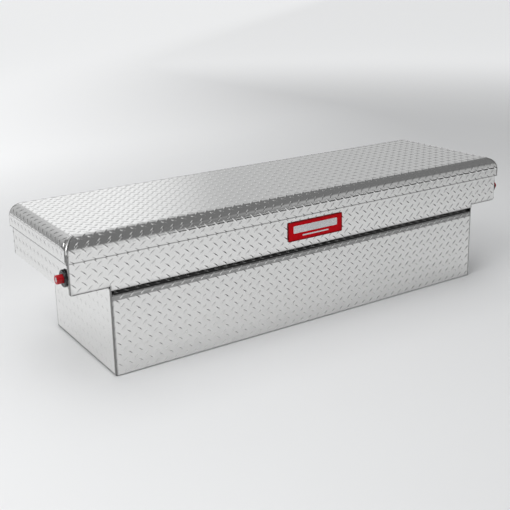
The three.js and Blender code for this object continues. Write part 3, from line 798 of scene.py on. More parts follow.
def bead(name, centres, first_normals, second_normals, radius, ripple=0.0, ripple_length=3 * MM):
    """A rounded weld between two faces: at each centre its surface turns from one normal to the other."""
    travelled = np.concatenate([[0], np.cumsum(np.linalg.norm(np.diff(centres, axis=0), axis=1))])
    vertices, normals = [], []
    for centre, one, two, s in zip(centres, first_normals, second_normals, travelled):
        wave = 1 + ripple * math.sin(2 * math.pi * s / ripple_length)
        ring = []
        for k in range(BEAD_STEPS):
            share = k / (BEAD_STEPS - 1)
            way = unit(one * (1 - share) + two * share)
            swell = 1 + (wave - 1) * math.sin(math.pi * share)
            ring.append(centre + way * radius * swell)
            normals.append(way)
        vertices.extend(ring)
        vertices.append(centre)
        normals.append(-unit(one + two))
    stride = BEAD_STEPS + 1
    faces = []
    for i in range(len(centres) - 1):
        for k in range(stride):
            a, b = i * stride + k, i * stride + (k + 1) % stride
            faces.append((a, b, b + stride, a + stride))
    last = (len(centres) - 1) * stride
    faces.append(tuple(range(stride - 1, -1, -1)))
    faces.append(tuple(last + k for k in range(stride)))
    made = mesh_object(name, vertices, faces)
    if signed_volume(vertices, faces) < 0:
        made.data.flip_normals()
    return made


def finished(name, vertices, faces, angle=35, bevel=0.0, bevel_angle=40):
    """A closed mesh object with its faces turned outwards, smooth up to an angle, its edges eased."""
    made = mesh_object(name, vertices, faces)
    shape = bmesh.new()
    shape.from_mesh(made.data)
    bmesh.ops.remove_doubles(shape, verts=shape.verts, dist=SAME_POINT)
    bmesh.ops.recalc_face_normals(shape, faces=shape.faces)
    shape.to_mesh(made.data)
    shape.free()
    made.data.set_sharp_from_angle(angle=math.radians(angle))
    if bevel:
        ease = made.modifiers.new("eased_edges", "BEVEL")
        ease.width = bevel
        ease.segments = 2
        ease.limit_method = "ANGLE"
        ease.angle_limit = math.radians(bevel_angle)
        ease.harden_normals = True
    return made


def lathe_mesh(profile, origin, axis, count=64):
    """Vertices and faces of a closed profile of (along, radius) turned about an axis."""
    axis = Vector(axis).normalized()
    side = axis.orthogonal().normalized()
    up = axis.cross(side)
    vertices, rings, faces = [], [], []
    for along, radius in profile:
        turns = range(count) if radius > ON_AXIS else range(1)
        rings.append([len(vertices) + k for k in turns])
        for k in turns:
            a = 2 * math.pi * k / count
            outward = side * math.cos(a) + up * math.sin(a)
            vertices.append(Vector(origin) + axis * along + outward * radius)
    for one, two in zip(rings, rings[1:] + rings[:1]):
        if len(one) == 1 and len(two) == 1:
            continue
        for k in range(count):
            here, after = k % len(one), (k + 1) % len(one)
            corners = [one[here], one[after], two[(k + 1) % len(two)], two[k % len(two)]]
            faces.append(tuple(dict.fromkeys(corners)))
    return vertices, faces


def merged(*parts):
    """One list of vertices and one of faces from several."""
    vertices, faces = [], []
    for points, sides in parts:
        faces += [tuple(len(vertices) + i for i in side) for side in sides]
        vertices += list(points)
    return vertices, faces


def sweep_mesh(path, profile, closed=False, upright=None):
    """A closed profile carried along a path: (aside, up) about each point."""
    path = [Vector(point) for point in path]
    count, vertices, faces = len(path), [], []
    up = None
    for i, point in enumerate(path):
        before = path[i - 1] if i or closed else point
        after = path[(i + 1) % count] if i + 1 < count or closed else point
        way = (after - before).normalized()
        if upright:
            up = Vector(upright)
        elif up is None:
            up = way.orthogonal().normalized()
        else:
            up = (up - way * up.dot(way)).normalized()
        aside = way.cross(up).normalized()
        vertices += [point + aside * a + up * b for a, b in profile]
    stride = len(profile)
    for i in range(count if closed else count - 1):
        for k in range(stride):
            one, two = i * stride, (i + 1) % count * stride
            faces.append((one + k, one + (k + 1) % stride, two + (k + 1) % stride, two + k))
    if not closed:
        faces.append(tuple(range(stride)))
        faces.append(tuple((count - 1) * stride + k for k in range(stride)))
    return vertices, faces


def circle(radius, count, at=(0.0, 0.0)):
    """Points of a round outline, anticlockwise."""
    angles = [2 * math.pi * k / count for k in range(count)]
    return [(at[0] + radius * math.cos(a), at[1] + radius * math.sin(a)) for a in angles]


def quarter_round(along, radius, size, steps):
    """A rounded edge of a turned profile, from its side to its face."""
    angles = np.linspace(0, math.pi / 2, steps)
    return [(along + size * math.sin(a), radius + size * math.cos(a)) for a in angles]


def in_metres(profile):
    """A turned profile that is written in millimetres."""
    return [(along * MM, radius * MM) for along, radius in profile]


def upright_plate(u, v, depth):
    """Puts a flat point of a plate that faces the front or the rear where it belongs."""
    return Vector((u, depth, v))


def rounded_box(half_x, half_y, corner, steps=6, at=(0.0, 0.0)):
    """Outline of a rectangle with round corners, anticlockwise."""
    points = []
    for quarter, (sx, sy) in enumerate(((1, 1), (-1, 1), (-1, -1), (1, -1))):
        for k in range(steps + 1):
            a = math.pi / 2 * (quarter + k / steps)
            points.append((at[0] + sx * (half_x - corner) + corner * math.cos(a),
                           at[1] + sy * (half_y - corner) + corner * math.sin(a)))
    return points


def plate_mesh(outline, holes, place, low, high):
    """A flat plate with holes: place(u, v, depth) puts a point where it belongs."""
    points, edges = [], []
    for loop in (outline, *holes):
        first = len(points)
        points += [tuple(point) for point in loop]
        edges += [(first + i, first + (i + 1) % len(loop)) for i in range(len(loop))]

    def on_plate(places):
        found = within(list(outline), places)
        for hole in holes:
            found &= ~within(list(hole), places)
        return found

    flat, faces = triangulate(points, edges, on_plate)
    count = len(flat)
    vertices = [place(u, v, low) for u, v in flat] + [place(u, v, high) for u, v in flat]
    sides = [tuple(int(i) for i in face) for face in faces]
    sides += [tuple(int(i) + count for i in face[::-1]) for face in faces]
    sides += [(int(a), int(b), int(b) + count, int(a) + count) for a, b in border(faces)]
    return vertices, sides


def rivets(name, spots, radius=3.2 * MM, height=1.4 * MM, root=-0.2 * MM, first=0.1, rings=6, count=20):
    """Domed rivet heads at (point, outward direction)."""
    dome = [(root, 0.0), (root, radius)]
    dome += [(height * math.sin(a), radius * math.cos(a))
             for a in np.linspace(first, math.pi / 2, rings)[:-1]]
    dome += [(height, 0.0)]
    heads = [lathe_mesh(dome, point, way, count) for point, way in spots]
    return finished(name, *merged(*heads), angle=50)


def signed_volume(vertices, faces):
    """Volume inside the faces: negative if they point in."""
    total = 0.0
    for face in faces:
        first = vertices[face[0]]
        for b, c in zip(face[1:], face[2:]):
            total += float(np.dot(first, np.cross(vertices[b], vertices[c])))
    return total / 6


class Nodes:
    """A short way to write node trees."""

    def __init__(self, name=None, tree=None):
        if tree is None:
            self.material = bpy.data.materials.new(name)
            self.material.use_nodes = True
            tree = self.material.node_tree
        self.tree = tree
        tree.nodes.clear()

    def node(self, kind, inputs=None, **settings):
        """A node with its settings, and its inputs set to values or linked to sockets."""
        made = self.tree.nodes.new(kind)
        for key, value in settings.items():
            setattr(made, key, value)
        for key, value in (inputs or {}).items():
            if isinstance(value, bpy.types.NodeSocket):
                self.tree.links.new(value, made.inputs[key])
            else:
                made.inputs[key].default_value = value
        return made

    def math(self, operation, *values):
        return self.node("ShaderNodeMath", dict(enumerate(values)), operation=operation).outputs[0]

    def product(self, first, *rest):
        for other in rest:
            first = self.math("MULTIPLY", first, other)
        return first

    def total(self, first, *rest):
        for other in rest:
            first = self.math("ADD", first, other)
        return first

    def choose(self, share, one, other):
        """The one value where the share is 1, and the other where it is 0."""
        return self.total(self.product(one, share), self.product(other, self.math("SUBTRACT", 1.0, share)))

    def linear(self, value, low, high, to_low=0.0, to_high=1.0, **settings):
        """The value carried from one span to another, and held at its ends."""
        inputs = {"Value": value, "From Min": low, "From Max": high, "To Min": to_low, "To Max": to_high}
        return self.node("ShaderNodeMapRange", inputs, **settings).outputs["Result"]

    def smooth(self, *span):
        """The same with an eased start and end."""
        return self.linear(*span, interpolation_type="SMOOTHSTEP")

    def blend(self, share, one, two):
        """A colour between two others."""
        made = self.node("ShaderNodeMix", data_type="RGBA")
        for key, value in (("Factor", share), ("A", one), ("B", two)):
            sockets = [s for s in made.inputs if s.name == key and s.enabled]
            if isinstance(value, bpy.types.NodeSocket):
                self.tree.links.new(value, sockets[0])
            else:
                sockets[0].default_value = value
        return [s for s in made.outputs if s.enabled][0]

    def dot(self, vector, direction):
        return self.node(
            "ShaderNodeVectorMath", {0: vector, 1: direction}, operation="DOT_PRODUCT").outputs["Value"]

    def noise(self, vector, scale, detail=3.0, roughness=0.55):
        inputs = {"Vector": vector, "Scale": scale, "Detail": detail, "Roughness": roughness}
        return self.node("ShaderNodeTexNoise", inputs).outputs["Fac"]

    def surface(self, shader, output="ShaderNodeOutputMaterial"):
        self.node(output, {"Surface": shader.outputs[0]})


def rgba(colour, shade=1.0):
    """A colour for a socket, darkened to a share of itself."""
    return (*[c * shade for c in tuple(colour)[:3]], 1.0)


# Noise lies mostly between these two values
NOISE_SPAN = (0.3, 0.7)

# Diamond plate: scales per metre, depths in metres, and spans of roughness
MILL_STRETCH = (4.0, 260.0, 260.0)
PLATE_TONE = (0.93, 1.0)
PLATE_SHADE = 0.86
PLATE_ROUGHNESS = (0.10, 0.16)
STREAK_ROUGHNESS = (-0.02, 0.02)
CREST_POLISH = (0.4, 1.0, 0.0, 0.03)
# Painted shade on the sheets: the roughness it adds, and the near black it is painted towards
PAINTED_SHADE_ROUGHNESS = 0.25
PAINTED_SHADE_COLOUR = (0.008, 0.008, 0.008, 1.0)
GRAIN_DEPTH = 0.00002
STREAK_DEPTH = 0.00003

# Welds, as shares of the sheet's colour, and their roughness and depth
WELDS = {
    "ground_weld": {"dark": 0.8, "bright": 1.0},
    "dark_weld": {"dark": 0.16, "bright": 0.36},
}
WELD_ROUGHNESS = (0.24, 0.38)
WELD_DEPTH = 0.0002

# Brushed and coated finishes: a colour, or the name of a user's colour, and roughness from and to
BRUSHED_SHADE = 0.84
BRUSHED = {
    "plain_aluminium": {"colour": (0.80, 0.805, 0.81), "rough": (0.24, 0.32), "depth": 0.00002},
    "steel": {"colour": (0.52, 0.53, 0.54), "rough": (0.24, 0.36)},
    "zinc_steel": {"colour": (0.66, 0.66, 0.63), "rough": (0.26, 0.40)},
    "key_core_metal": {"colour": (0.60, 0.60, 0.60), "rough": (0.2, 0.32)},
    "black_metal": {"colour": (0.012, 0.012, 0.013), "rough": (0.14, 0.22), "metallic": 0.0},
    "strut_paint": {"colour": (0.014, 0.014, 0.015), "rough": (0.28, 0.40), "metallic": 0.0},
    "seal_rubber": {
        "colour": "rubber", "rough": (0.55, 0.8), "metallic": 0.0, "depth": 0.0002, "scale": 420.0},
    "name_plate_red": {
        "colour": "badge", "rough": (0.34, 0.44), "metallic": 0.0, "depth": 0.00003, "sheen": 0.08},
    # The rim is painted darker than the field, as painted shade along the raised frame
    "name_plate_rim": {
        "colour": "badge", "shade": 0.4, "rough": (0.3, 0.4), "metallic": 0.0, "depth": 0.00003,
        "sheen": 0.12},
    "button_red": {
        "colour": "button", "rough": (0.2, 0.3), "metallic": 0.0, "depth": 0.00003, "sheen": 0.3},
}


def diamond_plate_material(colours):
    """Bright rolled aluminium: fine grain, faint mill streaks, smudges, polished crests and painted shade.
    """
    n = Nodes("diamond_plate")
    place = n.node("ShaderNodeTexCoord").outputs["Object"]
    crest = n.node("ShaderNodeAttribute", attribute_name="crest").outputs["Fac"]
    soil = n.node("ShaderNodeAttribute", attribute_name="soil").outputs["Fac"]
    cloud = n.noise(place, scale=3.5, detail=4.0)
    stretched = n.node("ShaderNodeVectorMath", {0: place, 1: MILL_STRETCH}, operation="MULTIPLY")
    streak = n.noise(stretched.outputs[0], scale=1.0)
    grain = n.noise(place, scale=900.0, detail=2.0)
    tone = n.linear(cloud, *NOISE_SPAN, *PLATE_TONE)
    tint = n.blend(tone, rgba(colours.aluminium, PLATE_SHADE), rgba(colours.aluminium))
    rough = n.math(
        "ADD", n.linear(cloud, *NOISE_SPAN, *PLATE_ROUGHNESS),
        n.linear(streak, *NOISE_SPAN, *STREAK_ROUGHNESS))
    rough = n.math("SUBTRACT", rough, n.linear(crest, *CREST_POLISH))
    # Where the sheet carries painted shade it is rougher and painted towards near black
    rough = n.math("ADD", rough, n.math("MULTIPLY", soil, PAINTED_SHADE_ROUGHNESS))
    tint = n.blend(soil, tint, PAINTED_SHADE_COLOUR)
    height = n.math(
        "ADD", n.math("MULTIPLY", grain, GRAIN_DEPTH), n.math("MULTIPLY", streak, STREAK_DEPTH))
    bump = n.node("ShaderNodeBump", {"Height": height, "Strength": 0.25, "Distance": 1.0})
    shader = n.node("ShaderNodeBsdfPrincipled", {
        "Base Color": tint, "Metallic": 1.0, "Roughness": rough, "Normal": bump.outputs[0]})
    n.surface(shader)
    return n.material


def weld_material(name, colours, dark, bright):
    """A weld, rougher than the sheet: bright where it is ground, dark where it is left as it cooled."""
    n = Nodes(name)
    place = n.node("ShaderNodeTexCoord").outputs["Object"]
    scratch = n.noise(place, scale=380.0)
    rough = n.linear(scratch, *NOISE_SPAN, *WELD_ROUGHNESS)
    tint = n.blend(
        n.linear(scratch, *NOISE_SPAN), rgba(colours.aluminium, dark), rgba(colours.aluminium, bright))
    bump = n.node("ShaderNodeBump", {
        "Height": n.math("MULTIPLY", scratch, WELD_DEPTH), "Strength": 0.5, "Distance": 1.0})
    shader = n.node("ShaderNodeBsdfPrincipled", {
        "Base Color": tint, "Metallic": 1.0, "Roughness": rough, "Normal": bump.outputs[0]})
    n.surface(shader)
    return n.material


def brushed_material(
        name, colours, colour, rough, shade=1.0, metallic=1.0, depth=0.00005, scale=220.0, sheen=0.5):
    """A metal or coated finish with fine variation of tone, gloss and surface."""
    if isinstance(colour, str):
        colour = [c * shade for c in getattr(colours, colour)]
    n = Nodes(name)
    place = n.node("ShaderNodeTexCoord").outputs["Object"]
    fine = n.noise(place, scale=scale)
    wide = n.noise(place, scale=14.0)
    tint = n.blend(n.linear(wide, *NOISE_SPAN), rgba(colour, BRUSHED_SHADE), rgba(colour))
    bump = n.node("ShaderNodeBump", {
        "Height": n.math("MULTIPLY", fine, depth), "Strength": 0.5, "Distance": 1.0})
    roughness = n.linear(fine, *NOISE_SPAN, *rough)
    shader = n.node("ShaderNodeBsdfPrincipled", {
        "Base Color": tint, "Metallic": metallic, "Roughness": roughness, "Specular IOR Level": sheen,
        "Normal": bump.outputs[0]})
    n.surface(shader)
    return n.material


def material(name):
    """The finish of that name, made when it is first asked for."""
    label = f"{name}_finish"
    made = bpy.data.materials.get(label)
    if made:
        return made
    colours = bpy.context.scene.box_colours
    if name == "diamond_plate":
        made = diamond_plate_material(colours)
    elif name in WELDS:
        made = weld_material(name, colours, **WELDS[name])
    else:
        made = brushed_material(name, colours, **BRUSHED[name])
    made.name = label
    return made


def dress(piece, body, finish, *nodes, slot=None):
    """Gives a piece its finish and its body, and hides the nodes that it stands for. The slot is not used.
    """
    piece.data.materials.clear()
    piece.data.materials.append(material(finish))
    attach(piece, body)
    if nodes:
        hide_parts(*nodes)
    slot or finish
    return piece


class BOX_OT_stage(bpy.types.Operator):
    """Adds the camera, the pale floor and the soft studio light"""

    bl_idname = "box.make_stage"
    bl_label = "Stage"

    def execute(self, context):
        studio = context.scene.box_studio
        self.make_camera(context)
        self.make_floor(studio)
        self.make_card()
        self.make_light(context, "side_light", SIDE_LIGHT_PLACE, SIDE_LIGHT_SIZE, studio.side_light)
        ceiling = self.make_light(
            context, "ceiling_light", CEILING_LIGHT_PLACE, CEILING_LIGHT_SIZE, studio.ceiling_light)
        ceiling.visible_glossy = False
        self.make_sky(context, studio)
        context.scene.view_settings.view_transform = "Standard"
        return {"FINISHED"}

    def make_camera(self, context):
        data = bpy.data.cameras.new("camera")
        data.sensor_width = CAMERA_SENSOR
        data.lens = CAMERA_FOCAL_PIXELS * data.sensor_width / PHOTO_WIDTH
        data.shift_y = CAMERA_SHIFT
        data.clip_end = CAMERA_REACH
        camera = bpy.data.objects.new("camera", data)
        forward, right = Vector(CAMERA_FORWARD).normalized(), Vector(CAMERA_RIGHT).normalized()
        up = right.cross(forward)
        turn = Matrix((right, up, -forward)).transposed()
        camera.matrix_world = Matrix.Translation(CAMERA_PLACE) @ turn.to_4x4()
        context.scene.collection.objects.link(camera)
        context.scene.camera = camera

    def make_floor(self, studio):
        """A pale disc that glows where it is far off, so that it runs into the backdrop."""
        angles = [2 * math.pi * i / FLOOR_SIDES for i in range(FLOOR_SIDES)]
        rim = [(studio.floor_radius * math.cos(a), studio.floor_radius * math.sin(a), 0) for a in angles]
        floor = mesh_object("floor", rim, [tuple(range(FLOOR_SIDES))], smooth=False)
        n = Nodes("pale_floor")
        place = n.node("ShaderNodeTexCoord").outputs["Object"]
        cloud = n.noise(place, scale=0.8)
        pale = rgba(studio.floor_colour)
        tint = n.blend(cloud, rgba(studio.floor_colour, FLOOR_DARKEST), pale)
        reach = n.node("ShaderNodeVectorMath", {0: place}, operation="LENGTH").outputs["Value"]
        beyond = n.product(n.smooth(n.dot(place, (1, 0, 0)), *FLOOR_RIGHT_OF),
                           n.smooth(n.dot(place, (0, 1, 0)), *FLOOR_BEHIND))
        back = n.product(n.smooth(n.dot(place, (-1, 1, 0)), *FLOOR_BEHIND_LEFT), beyond)
        far = n.math("MAXIMUM", n.smooth(reach, *FLOOR_FAR), back)
        n.surface(n.node("ShaderNodeBsdfPrincipled", {
            "Base Color": tint, "Roughness": 0.75, "Specular IOR Level": 0.2,
            "Emission Color": pale, "Emission Strength": far}))
        floor.data.materials.append(n.material)

    def make_card(self):
        """The dark card on the right, which only the metal reflects: it draws the lugs."""
        middle, nearest = CARD_NEAREST
        foot = [(x, nearest - CARD_BOW * (x - middle) ** 2, 0) for x in np.linspace(*CARD_RUN, CARD_STEPS)]
        head = [(x, y, CARD_HEIGHT) for x, y, _ in foot]
        count = len(foot)
        faces = [(i, i + 1, count + i + 1, count + i) for i in range(count - 1)]
        card = mesh_object("dark_card", foot + head, faces, smooth=False)
        n = Nodes("card_black")
        n.surface(n.node("ShaderNodeBsdfPrincipled", {
            "Base Color": CARD_COLOUR, "Roughness": 0.9, "Specular IOR Level": 0.1}))
        card.data.materials.append(n.material)
        card.visible_camera = False
        card.visible_diffuse = False
        card.visible_shadow = False

    def make_light(self, context, name, place, size, power):
        """A square soft light that looks at the box."""
        data = bpy.data.lights.new(name, "AREA")
        data.shape = "SQUARE"
        data.size = size
        data.energy = power
        light = bpy.data.objects.new(name, data)
        turn = (Vector(LIGHT_AIM) - Vector(place)).to_track_quat("-Z", "Y")
        light.matrix_world = Matrix.Translation(place) @ turn.to_matrix().to_4x4()
        context.scene.collection.objects.link(light)
        return light

    def make_sky(self, context, studio):
        """Even soft walls with brighter and darker parts for the metal to show, and a bright ceiling."""
        world = bpy.data.worlds.new("studio")
        world.use_nodes = True
        context.scene.world = world
        n = Nodes(tree=world.node_tree)
        way = n.node("ShaderNodeTexCoord").outputs["Generated"]
        rise = n.dot(way, (0, 0, 1))
        turned = n.math("ARCTAN2", n.dot(way, (0, 1, 0)), n.dot(way, (1, 0, 0)))
        front = n.product(n.smooth(n.dot(way, FRONT_WAY), *FRONT_SPREAD), n.smooth(rise, *FRONT_RISE))
        right = n.product(
            n.smooth(turned, *RIGHT_FROM), n.smooth(turned, *RIGHT_TO), n.smooth(rise, *RIGHT_RISE))
        shade = n.product(
            n.smooth(turned, *SHADE_FROM), n.smooth(turned, *SHADE_TO), n.smooth(rise, *SHADE_RISE))
        facing = n.math("SUBTRACT", n.total(front, right), shade)
        glow = n.total(
            n.smooth(n.dot(way, BEHIND_WAY), *BEHIND_SPREAD),
            n.smooth(n.dot(way, SPOT_WAY), *SPOT_SPREAD),
            n.smooth(n.dot(way, UPPER_WAY), *UPPER_SPREAD))
        ceiling = n.product(n.smooth(rise, *CEILING_SPREAD), studio.overhead)
        light = n.total(facing, WALL_LEVEL, glow, ceiling)
        level = n.choose(n.smooth(rise, *HORIZON), light, BELOW_LEVEL)
        seen = n.node("ShaderNodeLightPath").outputs["Is Camera Ray"]
        level = n.choose(seen, BACKDROP_LEVEL, level)
        sky = n.node("ShaderNodeBackground", {"Color": SKY_COLOUR, "Strength": level})
        n.surface(sky, "ShaderNodeOutputWorld")


def tread_on(context, origin, pitch=None):
    pattern = context.scene.box_tread
    return Tread(pattern, origin, pitch or pattern.pitch)


class BOX_OT_lid(bpy.types.Operator):
    """Builds the lid's skin: a top with rolled front and ends, a rear skirt, and the welds between them"""

    bl_idname = "box.make_lid"
    bl_label = "Lid Skin"

    def execute(self, context):
        lug = context.scene.box_tread.height
        self.end, self.front = LID_HIGH.x - lug, LID_LOW.y + lug
        self.rear, self.top = LID_HIGH.y - lug, LID_HIGH.z - lug
        self.bend, self.bottom = LID_BEND - lug, LID_LOW.z
        thickness = SHEET - lug
        side = Section(
            [(self.front, self.bottom), (self.front, self.top), (self.rear - REAR_EDGE_RADIUS, self.top)],
            [self.bend], home=1, home_value=self.front + self.bend)
        across = self.arch(home=1, home_value=self.bend - self.end)
        fold = LidFold(side, across)
        rise = fold.top - math.pi / 2 * self.bend - self.bottom - (self.top - self.bend - self.bottom)
        tread = tread_on(context, (LID_TREAD[0], LID_TREAD[1] + rise))
        skin = tread_sheet("lid_skin_sheet", self.outline(fold), fold, tread, thickness)
        dress(skin, "lid", "diamond_plate", "lid_skin")
        rear = self.rear_skirt(context, thickness)
        dress(rear, "lid", "diamond_plate", "lid_skin")
        for sign, end in LEFT_AND_RIGHT:
            upper, lower = self.mitre_weld(sign, end)
            dress(upper, "lid", "ground_weld", slot="diamond_plate")
            dress(lower, "lid", "dark_weld", slot="diamond_plate")
        dress(self.rear_edge(), "lid", "ground_weld", slot="diamond_plate")
        return {"FINISHED"}

    def arch(self, **home):
        """The lid's profile along its length: up one end, over the top and down the other end."""
        return Section(
            [(-self.end, self.bottom), (-self.end, self.top), (self.end, self.top), (self.end, self.bottom)],
            [self.bend, self.bend], **home)

    def inset(self, turned):
        """How far the rolled edge and its mitre have come in from the skirt, at an angle up the bend."""
        opening = math.acos(min(1.0, math.sin(turned) ** 2))
        trim = LID_WELD_RADIUS * math.tan(opening / 2) * math.sqrt(1 + math.sin(turned) ** 2)
        return self.bend * (1 - math.cos(turned)), trim

    def outline(self, fold):
        """The flat lid: a top, a flap in front and one at each end, cut back along the mitres."""
        half_top = self.end - self.bend
        skirt = self.top - self.bend - self.bottom
        corner = []
        for k in range(MITRE_STEPS):
            turned = math.pi / 2 * k / MITRE_STEPS
            inset, trim = self.inset(turned)
            corner.append((turned * self.bend, inset + trim))
        front_side = [(self.end - LID_WELD_RADIUS, fold.top - math.pi / 2 * self.bend - skirt)]
        front_side += [(self.end - reach, fold.top - math.pi / 2 * self.bend + along)
                       for along, reach in corner]
        tip = [(half_top, fold.top)]
        end_side = [(half_top + math.pi / 2 * self.bend - along, self.front + reach)
                    for along, reach in reversed(corner)]
        end_bottom = half_top + math.pi / 2 * self.bend + skirt
        end_side += [(end_bottom, self.front + LID_WELD_RADIUS)]
        back = self.rear - REAR_EDGE_RADIUS
        right = front_side + tip + end_side + [(end_bottom, back)]
        left = [(-u, v) for u, v in reversed(right)]
        return right + left

    def rear_skirt(self, context, thickness):
        """The upright sheet at the rear, whose upper corners follow the rolled ends."""
        edge = REAR_EDGE_RADIUS
        radius = self.bend - edge
        section = Section([(self.rear, self.bottom), (self.rear, self.top)], [], 0, self.bottom)
        fold = Fold(section, (-1, 0, 0), (0, 1, 0), (0, 0, 1))
        x, z = self.end - self.bend, self.top - self.bend
        arc = [(x + radius * math.cos(a), z + radius * math.sin(a))
               for a in np.linspace(0, math.pi / 2, SKIRT_STEPS)]
        right = [(self.end - edge, self.bottom)] + arc
        outline = right + [(-u, v) for u, v in reversed(right)]
        return tread_sheet("lid_rear_skirt", outline, fold, tread_on(context, LID_SKIRT_TREAD), thickness)

    def mitre_weld(self, sign, end):
        """The welds up a front corner: the upper one fades out where the two bends meet the top."""
        skirt_top = self.top - self.bend
        upper = [(turned, skirt_top + self.bend * math.sin(turned))
                 for turned in np.linspace(0, MITRE_FADE, num=60)]
        lower = [(0.0, height) for height in np.linspace(self.bottom, skirt_top, num=12)]
        beads = []
        for name, stops in (("mitre", upper), ("skirt", lower)):
            centres, ones, twos = [], [], []
            for turned, z in stops:
                inset = self.bend * (1 - math.cos(turned))
                corner = np.array((sign * (self.end - inset), self.front + inset, z))
                one = np.array((0, -math.cos(turned), math.sin(turned)))
                two = np.array((sign * math.cos(turned), 0, math.sin(turned)))
                centres.append(corner - LID_WELD_RADIUS * (one + two) / (1 + float(one @ two)))
                ones.append(one)
                twos.append(two)
            beads.append(bead(f"lid_{name}_weld_{end}", np.array(centres), np.array(ones),
                              np.array(twos), LID_WELD_RADIUS + LID_WELD_PROUD, ripple=0.05))
        return beads

    def rear_edge(self):
        """The rounded rear edge, from one skirt over the top to the other."""
        edge = REAR_EDGE_RADIUS
        across = self.arch()
        stops = np.unique(np.concatenate([
            across.creases(LID_STEP), [across.start, across.end],
            np.linspace(*across.panel(1), num=30)]))
        point, way = across.at(stops)
        normal = np.column_stack([-way[:, 1], np.zeros(len(stops)), way[:, 0]])
        inner = np.column_stack([point[:, 0], np.full(len(stops), self.rear), point[:, 1]])
        centres = inner - normal * edge - np.array((0, edge, 0))
        back = np.repeat([[0.0, 1.0, 0.0]], len(stops), 0)
        return bead("lid_rear_edge", centres, normal, back, edge)


def wall_profile(bottom, flange, lug):
    """Profile of the saddle's wall: a flange at the bottom, the wall, the rim and its lip."""
    corners = [
        (-flange, bottom + lug),
        (0, bottom + lug),
        (0, RIM - lug),
        (2 * lug - RIM_FLANGE, RIM - lug),
        (2 * lug - RIM_FLANGE, RIM - RIM_LIP),
    ]
    radii = [PANEL_BEND - lug, RIM_BEND - lug, RIM_BEND - lug]
    return Section(corners, radii, home=1, home_value=bottom + PANEL_BEND)


